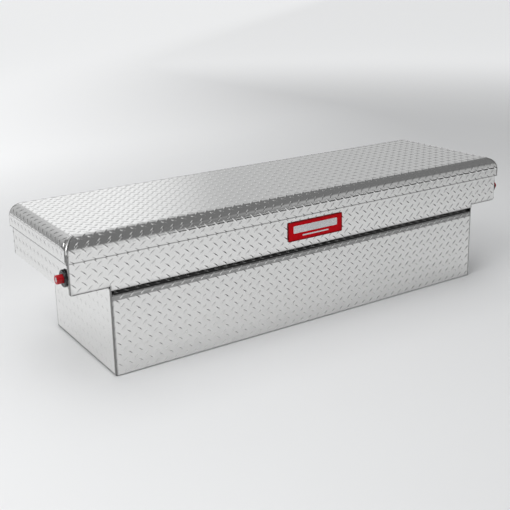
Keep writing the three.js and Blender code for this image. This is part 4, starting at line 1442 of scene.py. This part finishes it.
class BOX_OT_saddle(bpy.types.Operator):
    """Builds the saddle: front and rear walls with their corners, and the two end walls"""

    bl_idname = "box.make_saddle"
    bl_label = "Saddle"

    def execute(self, context):
        lug = context.scene.box_tread.height
        self.lug, self.thickness = lug, SHEET - lug
        self.end = BODY_END - lug
        self.front, self.rear = BODY_FRONT + lug, BODY_REAR - lug
        self.corner = BODY_CORNER - lug
        self.tub_profile = wall_profile(SEAM, SEAM_FLANGE - lug, lug)
        self.wing_profile = wall_profile(WING + SHEET, WING_FLANGE - lug, lug)
        front = self.long_wall(context, "saddle_front_wall", 1)
        dress(front, "box", "diamond_plate", "saddle_front_panel")
        rear = self.long_wall(context, "saddle_rear_wall", -1)
        dress(rear, "box", "diamond_plate", "saddle_rear_panel")
        for sign, end in LEFT_AND_RIGHT:
            wall = self.end_wall(context, sign, end)
            dress(wall, "box", "diamond_plate", f"saddle_end_{end}")
        return {"FINISHED"}

    def flange_stop(self, profile, reach, at_rim):
        """Distance along the sheet to a point of a flange that is that far in from the wall."""
        if at_rim:
            return profile.panel(2)[0] + reach - (RIM_BEND - self.lug)
        return profile.panel(0)[1] - (reach - (PANEL_BEND - self.lug))

    def long_wall(self, context, name, facing):
        """A wall along the box. It turns round both corners, and its foot is lower over the tub."""
        y = self.front if facing > 0 else self.rear
        half = self.end - self.corner
        past = y + facing * self.corner
        x = facing * self.end
        plan = Section([(-x, past), (-x, y), (x, y), (x, past)], [self.corner] * 2, 1, -half)
        wing_from = TUB_END - SHEET
        fold = WallFold(plan, self.tub_profile, self.wing_profile, wing_from)
        turn = half + math.pi / 2 * self.corner
        near = self.corner - CORNER_GAP
        wing_reach, rim_reach = WING_FLANGE - self.lug, RIM_FLANGE - 2 * self.lug
        relief_top = WING + SHEET + PANEL_BEND + RELIEF
        wing, tub = self.wing_profile, self.tub_profile
        right = [
            (wing_from - RELIEF, tub.start),
            (wing_from - RELIEF, relief_top),
            (wing_from + RELIEF, relief_top),
            (wing_from + RELIEF, wing.start),
            (half - (wing_reach - self.corner), wing.start),
            (half, self.flange_stop(wing, near, False)),
            (turn, self.flange_stop(wing, near, False)),
            (turn, self.flange_stop(tub, near, True)),
            (half, self.flange_stop(tub, near, True)),
            (half - (rim_reach - self.corner), tub.panel(2)[1]),
            (half - (rim_reach - self.corner), tub.end),
        ]
        outline = right + [(-u, v) for u, v in reversed(right)]
        tread = tread_on(context, SADDLE_TREAD)

        # Painted shade: dark down the corner folds, and a painted shadow band along the wall's foot over the
        # groove
        def corners(flat):
            past = np.clip((np.abs(flat[:, 0]) - half) / (turn - half), 0, 1)
            on_wing = np.abs(flat[:, 0]) > wing_from
            foot = np.where(on_wing, wing.panel(1)[0], tub.panel(1)[0])
            low = FOOT_PAINTED_SHADE * np.clip((foot + FOOT_BAND - flat[:, 1]) / (2 * FOOT_BAND), 0, 1)
            return np.maximum(CORNER_PAINTED_SHADE * np.sin(math.pi * past), low)

        return tread_sheet(name, outline, fold, tread, self.thickness, painted_shade_at=corners)

    def end_wall(self, context, sign, end):
        """A wall across the box's end, with a round hole for the lock."""
        x = sign * self.end
        start, stop = self.front + self.corner, self.rear - self.corner
        spots = [(x, start), (x, stop)] if sign > 0 else [(x, stop), (x, start)]
        low = start if sign > 0 else -stop
        high = stop if sign > 0 else -start
        plan = Section(spots, [], 0, low)
        fold = WallFold(plan, self.wing_profile)
        profile = self.wing_profile
        near = self.corner - CORNER_GAP
        wing_reach, rim_reach = WING_FLANGE - self.lug, RIM_FLANGE - 2 * self.lug
        right = [
            (high - (wing_reach - self.corner), profile.start),
            (high, self.flange_stop(profile, near, False)),
            (high, self.flange_stop(profile, near, True)),
            (high - (rim_reach - self.corner), profile.panel(2)[1]),
            (high - (rim_reach - self.corner), profile.end),
        ]
        left = [(low + high - u, v) for u, v in reversed(right)]
        hole = [(sign * LOCK_Y + LOCK_HOLE * math.cos(a), LOCK_Z + LOCK_HOLE * math.sin(a))
                for a in np.linspace(0, 2 * math.pi, HOLE_STEPS, endpoint=False)]
        tread = tread_on(context, (low + SADDLE_END_TREAD, SADDLE_TREAD[1]))
        return tread_sheet(
            f"saddle_end_wall_{end}", right + left, fold, tread, self.thickness, [hole])


class BOX_OT_tub(bpy.types.Operator):
    """Builds the tub: one sheet for front, floor and rear, two end plates and the welds at their edges"""

    bl_idname = "box.make_tub"
    bl_label = "Tub"

    def execute(self, context):
        lug = context.scene.box_tread.height
        self.lug, self.thickness = lug, SHEET - lug
        self.front, self.rear, self.end = TUB_LOW.y + lug, TUB_HIGH.y - lug, TUB_END - lug
        self.pitch = context.scene.box_tread.tub_pitch
        dress(self.shell(context), "box", "diamond_plate", "tub_shell")
        for sign, end in LEFT_AND_RIGHT:
            plate = self.end_plate(context, sign, end)
            dress(plate, "box", "diamond_plate", f"tub_end_{end}")
            dress(self.edge_weld(sign, end), "box", "dark_weld", slot="diamond_plate")
        return {"FINISHED"}

    def section(self):
        top, bottom = TUB_HIGH.z - self.lug, TUB_LOW.z + self.lug
        flange = TUB_FLANGE - self.lug
        corners = [
            (self.rear - flange, top), (self.rear, top), (self.rear, bottom),
            (self.front, bottom), (self.front, top), (self.front + flange, top),
        ]
        shoulder, foot = SHOULDER_BEND - self.lug, PANEL_BEND - self.lug
        return Section(corners, [shoulder, foot, foot, shoulder], home=3, home_value=TUB_LOW.z + PANEL_BEND)

    def shell(self, context):
        section = self.section()
        fold = Fold(section, (1, 0, 0), (0, 1, 0), (0, 0, 1))
        half = self.end - WELD_RADIUS
        outline = [(-half, section.start), (half, section.start), (half, section.end), (-half, section.end)]
        tread = tread_on(context, TUB_TREAD, self.pitch)
        front, rear = section.panel(3)[1], section.panel(1)[0]
        bend = SHOULDER_BEND - self.lug

        # Painted shade on the shoulders: black up in the groove past a share of the bend, and a grey band
        # below it
        def shoulder_shade(flat):
            past = np.maximum(flat[:, 1] - front, rear - flat[:, 1]) / bend
            share = np.clip((past - SHOULDER_SHADE_START) / SHOULDER_FADE, 0, 1)
            band = SHOULDER_GREY * np.clip((past + SHOULDER_DROP) / SHOULDER_EASE, 0, 1)
            return np.maximum(SHOULDER_PAINTED_SHADE * share * share * (3 - 2 * share), band)

        drop, ease = SHOULDER_DROP * bend, SHOULDER_EASE * bend
        levels = (front - drop, front - drop + ease, rear + drop, rear + drop - ease)
        # The whole tub is also painted a little darker
        return tread_sheet(
            "tub_sheet", outline, fold, tread, self.thickness, painted_shade_at=shoulder_shade, levels=levels,
            least_darkening=TUB_DARKENING)

    def end_plate(self, context, sign, end):
        start, stop = self.front + WELD_RADIUS, self.rear - WELD_RADIUS
        low = start if sign > 0 else -stop
        high = stop if sign > 0 else -start
        section = Section([(sign * self.end, 0), (sign * self.end, 1)], [], 0, 0)
        fold = Fold(section, (0, sign, 0), (1, 0, 0), (0, 0, 1))
        bottom = TUB_LOW.z + self.lug + WELD_RADIUS
        outline = [(low, bottom), (high, bottom), (high, TUB_END_TOP), (low, TUB_END_TOP)]
        tread = tread_on(context, (low + TUB_END_TREAD, TUB_TREAD[1]), self.pitch)
        return tread_sheet(f"tub_end_plate_{end}", outline, fold, tread, self.thickness)

    def edge_weld(self, sign, end):
        """The weld round an end of the tub, up to the wing at the front and at the rear."""
        bottom = TUB_LOW.z + self.lug
        foot = PANEL_BEND - self.lug
        corners = [(self.rear, TUB_END_TOP), (self.rear, bottom), (self.front, bottom),
                   (self.front, TUB_END_TOP)]
        section = Section(corners, [foot, foot])
        stops = np.unique(np.concatenate([
            section.creases(), np.linspace(section.start, section.end, num=900)]))
        point, way = section.at(stops)
        normal = np.column_stack([np.zeros(len(stops)), -way[:, 1], way[:, 0]])
        outer = np.column_stack([np.full(len(stops), sign * self.end), point])
        sideways = np.array((sign, 0.0, 0.0))
        centres = outer - (normal + sideways) * WELD_RADIUS
        return bead(f"tub_edge_weld_{end}", centres, normal, np.repeat([sideways], len(stops), 0),
                    WELD_RADIUS, ripple=0.03, ripple_length=3.4 * MM)


class BOX_OT_wings(bpy.types.Operator):
    """Builds the floors of the two wings, turned down inside the tub's ends"""

    bl_idname = "box.make_wings"
    bl_label = "Wing Floors"

    def execute(self, context):
        lug = context.scene.box_tread.height
        for sign, end in LEFT_AND_RIGHT:
            low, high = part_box(f"wing_floor_{end}")
            inner = min(abs(low.x), abs(high.x)) + SHEET - lug
            outer = max(abs(low.x), abs(high.x))
            corners = [(inner, WING - WING_DROP), (inner, WING + lug), (outer, WING + lug)]
            section = Section(corners, [WING_BEND + lug])
            fold = Fold(section, (0, sign, 0), (sign, 0, 0), (0, 0, 1))
            notch = SEAM + SHEET + RELIEF - (WING - WING_DROP) + section.start
            start, stop = low.y * sign, high.y * sign
            start, stop = min(start, stop), max(start, stop)
            cut = SEAM_FLANGE - PANEL_BEND + RELIEF
            outline = [
                (start, section.end), (start, notch), (start + cut, notch),
                (start + cut, section.start), (stop - cut, section.start), (stop - cut, notch),
                (stop, notch), (stop, section.end),
            ]
            outline = outline[::-1] if flat_area(outline) < 0 else outline
            tread = tread_on(context, (start + WING_TREAD[0], section.start + WING_TREAD[1]))
            floor = tread_sheet(f"wing_floor_sheet_{end}", outline, fold, tread, SHEET - lug)
            dress(floor, "box", "diamond_plate", f"wing_floor_{end}")
        return {"FINISHED"}


def flat_area(loop):
    """Area of a flat loop, positive if it runs anticlockwise."""
    return sum(ax * by - bx * ay for (ax, ay), (bx, by) in zip(loop, loop[1:] + loop[:1])) / 2


class BOX_OT_seal(bpy.types.Operator):
    """Builds the weather seal: a rubber bulb on a flat foot, all round the rim"""

    bl_idname = "box.make_seal"
    bl_label = "Weather Seal"

    def execute(self, context):
        low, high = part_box("weather_seal")
        middle, half = (low + high) / 2, (high - low) / 2
        run = SEAL_WIDTH / 2
        plan = rounded_box(half.x - run, half.y - run, SEAL_CORNER - run, steps=8, at=(middle.x, middle.y))
        path = []
        for (ax, ay), (bx, by) in zip(plan, plan[1:] + plan[:1]):
            steps = max(1, round(math.hypot(bx - ax, by - ay) / SEAL_SPAN))
            path += [(ax + (bx - ax) * k / steps, ay + (by - ay) * k / steps, low.z) for k in range(steps)]
        profile = self.profile(run, high.z - low.z)
        made = finished("weather_seal_bulb", *sweep_mesh(path, profile, closed=True, upright=(0, 0, 1)))
        dress(made, "box", "seal_rubber", "weather_seal")
        return {"FINISHED"}

    def profile(self, run, top, foot=SEAL_FOOT, bulb=SEAL_BULB, edge=0.7, neck=0.8, past=0.5, steps=15):
        """Half width and height of the foot's edge, the bulb's neck and the bulb itself."""
        right = [(run, foot * edge), (run - SEAL_FOOT_EASE, foot), (bulb * neck, foot)]
        left = [(-bulb * neck, foot), (SEAL_FOOT_EASE - run, foot), (-run, foot * edge)]
        centre = top - bulb
        angles = np.linspace(-past, math.pi + past, steps)
        round_top = [(bulb * math.cos(a), centre + bulb * math.sin(a)) for a in angles]
        return [(-run, 0.0), (run, 0.0)] + right + round_top + left


class BOX_OT_hinge(bpy.types.Operator):
    """Builds the hinge's two leaves with their rolled knuckles, and the rivets that hold them"""

    bl_idname = "box.make_hinge"
    bl_label = "Hinge"

    def execute(self, context):
        pin_low, pin_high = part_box("hinge_pin")
        y, z = (pin_low.y + pin_high.y) / 2, (pin_low.z + pin_high.z) / 2
        half = pin_high.x
        lug = context.scene.box_tread.height
        for node, body, first in (("hinge_body_leaf", "box", 0), ("hinge_lid_leaf", "lid", 1)):
            low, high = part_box(node)
            below = body == "box"
            edge = low.z if below else high.z
            inner = BODY_REAR if below else LID_HIGH.y - SHEET - LEAF_SHEET
            stop = z - KNUCKLE - KNUCKLE_RELIEF if below else z + KNUCKLE + KNUCKLE_RELIEF
            outline, barrels, spots = [(-half, edge)], [], []
            pitch = 2 * half / KNUCKLES
            for i in range(KNUCKLES):
                start, end = i * pitch - half + KNUCKLE_GAP, (i + 1) * pitch - half - KNUCKLE_GAP
                middle = (start + end) / 2
                if i % 2 != first:
                    outline += [(start - KNUCKLE_GAP, stop), (end + KNUCKLE_GAP, stop)]
                    continue
                outline += [(start, stop), (start, z), (end, z), (end, stop)]
                barrels.append(self.barrel(start, end, (0, y, z)))
                for x in (middle - pitch / 4, middle + pitch / 4):
                    if below:
                        spots.append(((x, inner + LEAF_SHEET, (low.z + stop) / 2), (0, 1, 0)))
                    else:
                        spots.append(((x, LID_HIGH.y - lug, (stop + high.z) / 2), (0, 1, 0)))
            outline += [(half, edge)]
            outline = [p for i, p in enumerate(outline) if i == 0 or p != outline[i - 1]]
            leaf = plate_mesh(outline, (), upright_plate, inner, inner + LEAF_SHEET)
            made = finished(f"hinge_leaf_{body}", *merged(leaf, *barrels))
            dress(made, body, "steel", node)
            dress(rivets(f"hinge_rivets_{body}", spots), body, "plain_aluminium")
        return {"FINISHED"}

    def barrel(self, start, end, origin, ease=KNUCKLE_EASE):
        """A rolled knuckle with eased ends."""
        return lathe_mesh([
            (start, KNUCKLE_BORE), (start, KNUCKLE - ease), (start + ease, KNUCKLE),
            (end - ease, KNUCKLE), (end, KNUCKLE - ease), (end, KNUCKLE_BORE),
        ], origin, (1, 0, 0), count=28)


class BOX_OT_name_plate(bpy.types.Operator):
    """Builds the name plate: a raised rim, a red field, and a plain bright band with a line under it"""

    bl_idname = "box.make_name_plate"
    bl_label = "Name Plate"

    def execute(self, context):
        middle = (PLATE_LOW + PLATE_HIGH) / 2
        half = (PLATE_HIGH - PLATE_LOW) / 2
        self.at = (middle.x, middle.z)
        front, back = PLATE_LOW.y, PLATE_HIGH.y
        outer = rounded_box(half.x, half.z, PLATE_CORNER, at=self.at)
        inner = rounded_box(half.x - PLATE_RIM, half.z - PLATE_RIM, PLATE_FIELD_CORNER, at=self.at)
        rim = plate_mesh(outer, [inner], upright_plate, front, back)
        dress(finished("name_plate_rim", *rim, bevel=0.5 * MM),
              "box", "name_plate_rim", "name_plate", slot="name_plate_red")
        field_front = front + PLATE_FIELD_DEPTH
        field = plate_mesh(inner, (), upright_plate, field_front, back)
        dress(finished("name_plate_field", *field), "box", "name_plate_red")
        marks = merged(self.mark(field_front, PLATE_BAND_HEIGHT, *PLATE_BAND),
                       self.mark(field_front, PLATE_LINE_HEIGHT, *PLATE_LINE))
        dress(finished("name_plate_band", *marks, bevel=0.2 * MM), "box", "plain_aluminium")
        return {"FINISHED"}

    def mark(self, field, height, half_x, half_z, corner, above):
        """A plain raised bar that stands on the field."""
        outline = rounded_box(half_x, half_z, corner, at=(self.at[0], self.at[1] + above))
        return plate_mesh(outline, (), upright_plate, field - height, field + PLATE_MARK_ROOT)


class BOX_OT_locks(bpy.types.Operator):
    """Builds both locks: bezel, threaded housing, nut, button and key core"""

    bl_idname = "box.make_locks"
    bl_label = "Locks"

    def execute(self, context):
        for sign, end in LEFT_AND_RIGHT:
            self.origin = Vector((sign * BODY_END, LOCK_Y, LOCK_Z))
            self.axis = (sign, 0, 0)
            self.sign = sign
            self.bezel(end)
            self.button(end)
            self.core(end)
            self.housing(end)
            self.nut(end)
        return {"FINISHED"}

    def turned(self, name, profile, count=72):
        return finished(name, *lathe_mesh(in_metres(profile), self.origin, self.axis, count))

    def bezel(self, end):
        profile = BEZEL_FOOT + quarter_round(*BEZEL_ROUND, steps=8) + BEZEL_FACE
        dress(self.turned(f"lock_bezel_ring_{end}", profile), "box", "black_metal", f"lock_bezel_{end}")

    def button(self, end):
        """The button and its plunger, whose end is where the frame has it."""
        low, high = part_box(f"lock_button_{end}")
        tip = (min(abs(low.x), abs(high.x)) - BODY_END) / MM
        profile = [(tip + along, radius) for along, radius in PLUNGER_END]
        profile += BUTTON_SIDE + quarter_round(*BUTTON_ROUND, steps=7) + BUTTON_FACE
        made = self.turned(f"lock_push_button_{end}", profile)
        dress(made, f"lock_button_{end}", "button_red", f"lock_button_{end}")

    def core(self, end):
        """The key core: a face with a slot, and the stem behind it."""
        low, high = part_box(f"key_core_{end}")
        near, far = min(abs(low.x), abs(high.x)), max(abs(low.x), abs(high.x))
        outline = circle((high.z - low.z) / 2, count=48)
        half_wide, half_high = KEY_SLOT
        slot = [(-half_wide, -half_high), (half_wide, -half_high), (half_wide, half_high),
                (-half_wide, half_high)]

        def place(u, v, depth):
            return Vector((self.sign * depth, LOCK_Y + u, LOCK_Z + v))

        deep = far - KEY_SLOT_DEPTH
        face = plate_mesh(outline, [slot], place, deep, far)
        stem = plate_mesh(outline, [], place, near, deep)
        made = finished(f"key_core_barrel_{end}", *merged(face, stem), bevel=0.25 * MM)
        dress(made, f"key_core_{end}", "key_core_metal", f"key_core_{end}")

    def housing(self, end):
        """The threaded barrel behind the bezel."""
        profile = list(BARREL_END)
        for x in np.arange(*THREAD_RUN):
            profile += [(x + along, radius) for along, radius in THREAD_TURN]
        profile += BARREL_BORE
        dress(self.turned(f"lock_barrel_{end}", profile), "box", "zinc_steel", f"lock_housing_{end}")

    def nut(self, end):
        low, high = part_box(f"lock_nut_{end}")
        hexagon = circle(NUT_HALF_WIDTH / math.cos(math.pi / 6), count=6)

        def place(u, v, depth):
            return Vector((depth, LOCK_Y + u, LOCK_Z + v))

        nut = plate_mesh(hexagon, [circle(NUT_BORE, count=48)], place, low.x, high.x)
        made = finished(f"lock_hex_nut_{end}", *nut, bevel=0.9 * MM)
        dress(made, "box", "zinc_steel", f"lock_nut_{end}")


class BOX_OT_struts(bpy.types.Operator):
    """Builds both gas struts: a painted cylinder with a rolled end, and a bright rod, each with its eye"""

    bl_idname = "box.make_struts"
    bl_label = "Gas Struts"

    def execute(self, context):
        foot_y, foot_z = STRUT_FOOT
        head_y, head_z = STRUT_HEAD
        for sign, end in LEFT_AND_RIGHT:
            foot = Vector((sign * STRUT_PLANE, foot_y, foot_z))
            head = Vector((sign * STRUT_PLANE, head_y, head_z))
            way = head - foot
            length = way.length / MM
            rod = STRUT_ROD_INNER + [(length + along, radius) for along, radius in STRUT_ROD_OUTER]
            made = self.part(f"strut_tube_{end}", STRUT_TUBE, foot, way, foot)
            dress(made, f"strut_cylinder_{end}", "strut_paint", f"strut_cylinder_{end}", slot="black_metal")
            made = self.part(f"strut_piston_rod_{end}", rod, foot, way, head)
            dress(made, f"strut_rod_{end}", "steel", f"strut_rod_{end}")
        return {"FINISHED"}

    def part(self, name, profile, origin, way, eye_at, count=40):
        """A turned body and the round eye across its end."""
        body = lathe_mesh(in_metres(profile), origin, way, count)
        eye = lathe_mesh(in_metres(STRUT_EYE), eye_at, (1, 0, 0), count)
        return finished(name, *merged(body, eye))


class BOX_OT_springs(bpy.types.Operator):
    """Builds the coil springs: one under each button, and one on each hook's pivot"""

    bl_idname = "box.make_springs"
    bl_label = "Springs"

    def execute(self, context):
        for sign, end in LEFT_AND_RIGHT:
            low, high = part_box(f"lock_spring_{end}")
            near, far = min(abs(low.x), abs(high.x)), max(abs(low.x), abs(high.x))
            start = Vector((sign * near, LOCK_Y, LOCK_Z))
            coil = self.coil(f"lock_coil_{end}", start, (sign, 0, 0), far - near, **BUTTON_COIL)
            dress(coil, "box", "steel", f"lock_spring_{end}")
            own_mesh(coil)
            low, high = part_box(f"latch_spring_{end}")
            middle = (low + high) / 2
            start = Vector((middle.x, low.y, middle.z))
            coil = self.coil(f"latch_coil_{end}", start, (0, 1, 0), high.y - low.y, **HOOK_COIL)
            dress(coil, "box", "steel", f"latch_spring_{end}")
        return {"FINISHED"}

    def coil(self, name, start, axis, length, radius, wire, turns, per_turn=20, sides=10):
        """A round wire wound about an axis, its end turns closed."""
        axis = Vector(axis)
        side = axis.orthogonal().normalized()
        up = axis.cross(side)
        path = []
        for angle in np.linspace(0, 2 * math.pi * turns, round(per_turn * turns) + 1):
            share = np.clip((angle - math.pi / 2) / (2 * math.pi * turns - math.pi), 0, 1)
            along = wire + (length - 2 * wire) * share
            path.append(start + axis * along + (side * math.cos(angle) + up * math.sin(angle)) * radius)
        return finished(name, *sweep_mesh(path, circle(wire, sides)))


class BOX_OT_release(bpy.types.Operator):
    """Builds the bent release rod between the latches, and the rivets of the brackets inside"""

    bl_idname = "box.make_release"
    bl_label = "Release Rod"

    def execute(self, context):
        dress(self.rod(), "release_rod", "zinc_steel", "release_rod")
        down = (0, 0, -1)
        box_spots, lid_spots, pan_spots = [], [], []
        for sign, _ in LEFT_AND_RIGHT:
            inward = (-sign, 0, 0)
            x, y, z = sign * BRACKET_PLANE, *STRUT_FOOT
            box_spots += [((x, y + a, z + b), inward) for a, b in STRUT_BRACKET_RIVETS]
            box_spots += [((x, a, b), inward) for a, b in LATCH_RIVETS]
            lid_spots += [((sign * a, b, LID_RIVET_LEVEL), down) for a, b in LID_RIVETS]
        pan_low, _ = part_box("lid_inner_pan")
        for number in (1, 2, 3):
            low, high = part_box(f"lid_stiffener_{number}")
            for x in (low.x + PAN_RIVET_INSET, high.x - PAN_RIVET_INSET):
                pan_spots += [((x, y, pan_low.z), down) for y in np.linspace(*PAN_RIVET_RUN)]
        box_rivets = rivets("bracket_rivets", box_spots, radius=2.8 * MM)
        dress(box_rivets, "box", "plain_aluminium")
        lid_rivets = rivets("lid_bracket_rivets", lid_spots, radius=2.6 * MM, height=1.2 * MM)
        dress(lid_rivets, "lid", "plain_aluminium")
        pan_rivets = rivets("lid_pan_rivets", pan_spots, radius=3.0 * MM, height=1.2 * MM)
        dress(pan_rivets, "lid", "plain_aluminium")
        return {"FINISHED"}

    def rod(self, steps=8, sides=16):
        """A wire through the corners, bent round each of them."""
        corners = [Vector(point) * MM for point in ROD_POINTS]
        path = [corners[0]]
        for before, here, after in zip(corners, corners[1:], corners[2:]):
            start, stop = (before - here).normalized(), (after - here).normalized()
            shorter = min((before - here).length, (after - here).length)
            reach = min(ROD_BEND, shorter * ROD_BEND_MOST)
            one, two = here + start * reach, here + stop * reach
            path += [one.lerp(here, t).lerp(here.lerp(two, t), t) for t in np.linspace(0, 1, steps)]
        path.append(corners[-1])
        return finished("release_rod_wire", *sweep_mesh(path, circle(ROD_RADIUS, sides)))


# Finish of each node that still shows, by the start of its name
NODE_FINISHES = (
    ("hinge_pin", "steel"), ("latch_pivot", "steel"), ("latch_", "zinc_steel"), ("striker", "zinc_steel"),
    ("rod_guide", "zinc_steel"), ("strut_", "zinc_steel"), ("lid_", "plain_aluminium"),
)


class BOX_OT_nodes(bpy.types.Operator):
    """Gives every node that still shows its finish"""

    bl_idname = "box.finish_nodes"
    bl_label = "Frame Finishes"

    def execute(self, context):
        for name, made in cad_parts.items():
            if made.hide_render:
                continue
            finish = next(f for start, f in NODE_FINISHES if name.startswith(start))
            made.data.materials.clear()
            made.data.materials.append(material(finish))
        return {"FINISHED"}


class BOX_PT_panel(bpy.types.Panel):
    """Lists the steps that build the tool box"""

    bl_idname = "BOX_PT_panel"
    bl_label = "Tool Box"
    bl_space_type = "VIEW_3D"
    bl_region_type = "UI"
    bl_category = "Tool Box"

    def draw(self, context):
        column = self.layout.column(align=True)
        for operator in OPERATORS:
            column.operator(operator.bl_idname)
        for settings in (context.scene.box_tread, context.scene.box_colours, context.scene.box_studio):
            box = self.layout.box()
            for name in settings.bl_rna.properties.keys():
                if name not in ("rna_type", "name"):
                    box.prop(settings, name)


OPERATORS = (
    BOX_OT_stage, BOX_OT_lid, BOX_OT_saddle, BOX_OT_tub, BOX_OT_wings, BOX_OT_seal, BOX_OT_hinge,
    BOX_OT_name_plate, BOX_OT_locks, BOX_OT_struts, BOX_OT_springs, BOX_OT_release, BOX_OT_nodes,
)
SETTINGS = {
    "box_tread": TREAD_PG_pattern,
    "box_colours": FINISH_PG_colours,
    "box_studio": STAGE_PG_studio,
}


def register():
    for settings in SETTINGS.values():
        bpy.utils.register_class(settings)
    for name, settings in SETTINGS.items():
        setattr(bpy.types.Scene, name, PointerProperty(type=settings))
    for operator in OPERATORS:
        bpy.utils.register_class(operator)
    bpy.utils.register_class(BOX_PT_panel)


def unregister():
    bpy.utils.unregister_class(BOX_PT_panel)
    for operator in reversed(OPERATORS):
        bpy.utils.unregister_class(operator)
    for name, settings in SETTINGS.items():
        delattr(bpy.types.Scene, name)
        bpy.utils.unregister_class(settings)


def main():
    register()
    bpy.ops.box.make_stage()
    bpy.ops.box.make_lid()
    bpy.ops.box.make_saddle()
    bpy.ops.box.make_tub()
    bpy.ops.box.make_wings()
    bpy.ops.box.make_seal()
    bpy.ops.box.make_hinge()
    bpy.ops.box.make_name_plate()
    bpy.ops.box.make_locks()
    bpy.ops.box.make_struts()
    bpy.ops.box.make_springs()
    bpy.ops.box.make_release()
    bpy.ops.box.finish_nodes()


if __name__ == "__main__":
    main()
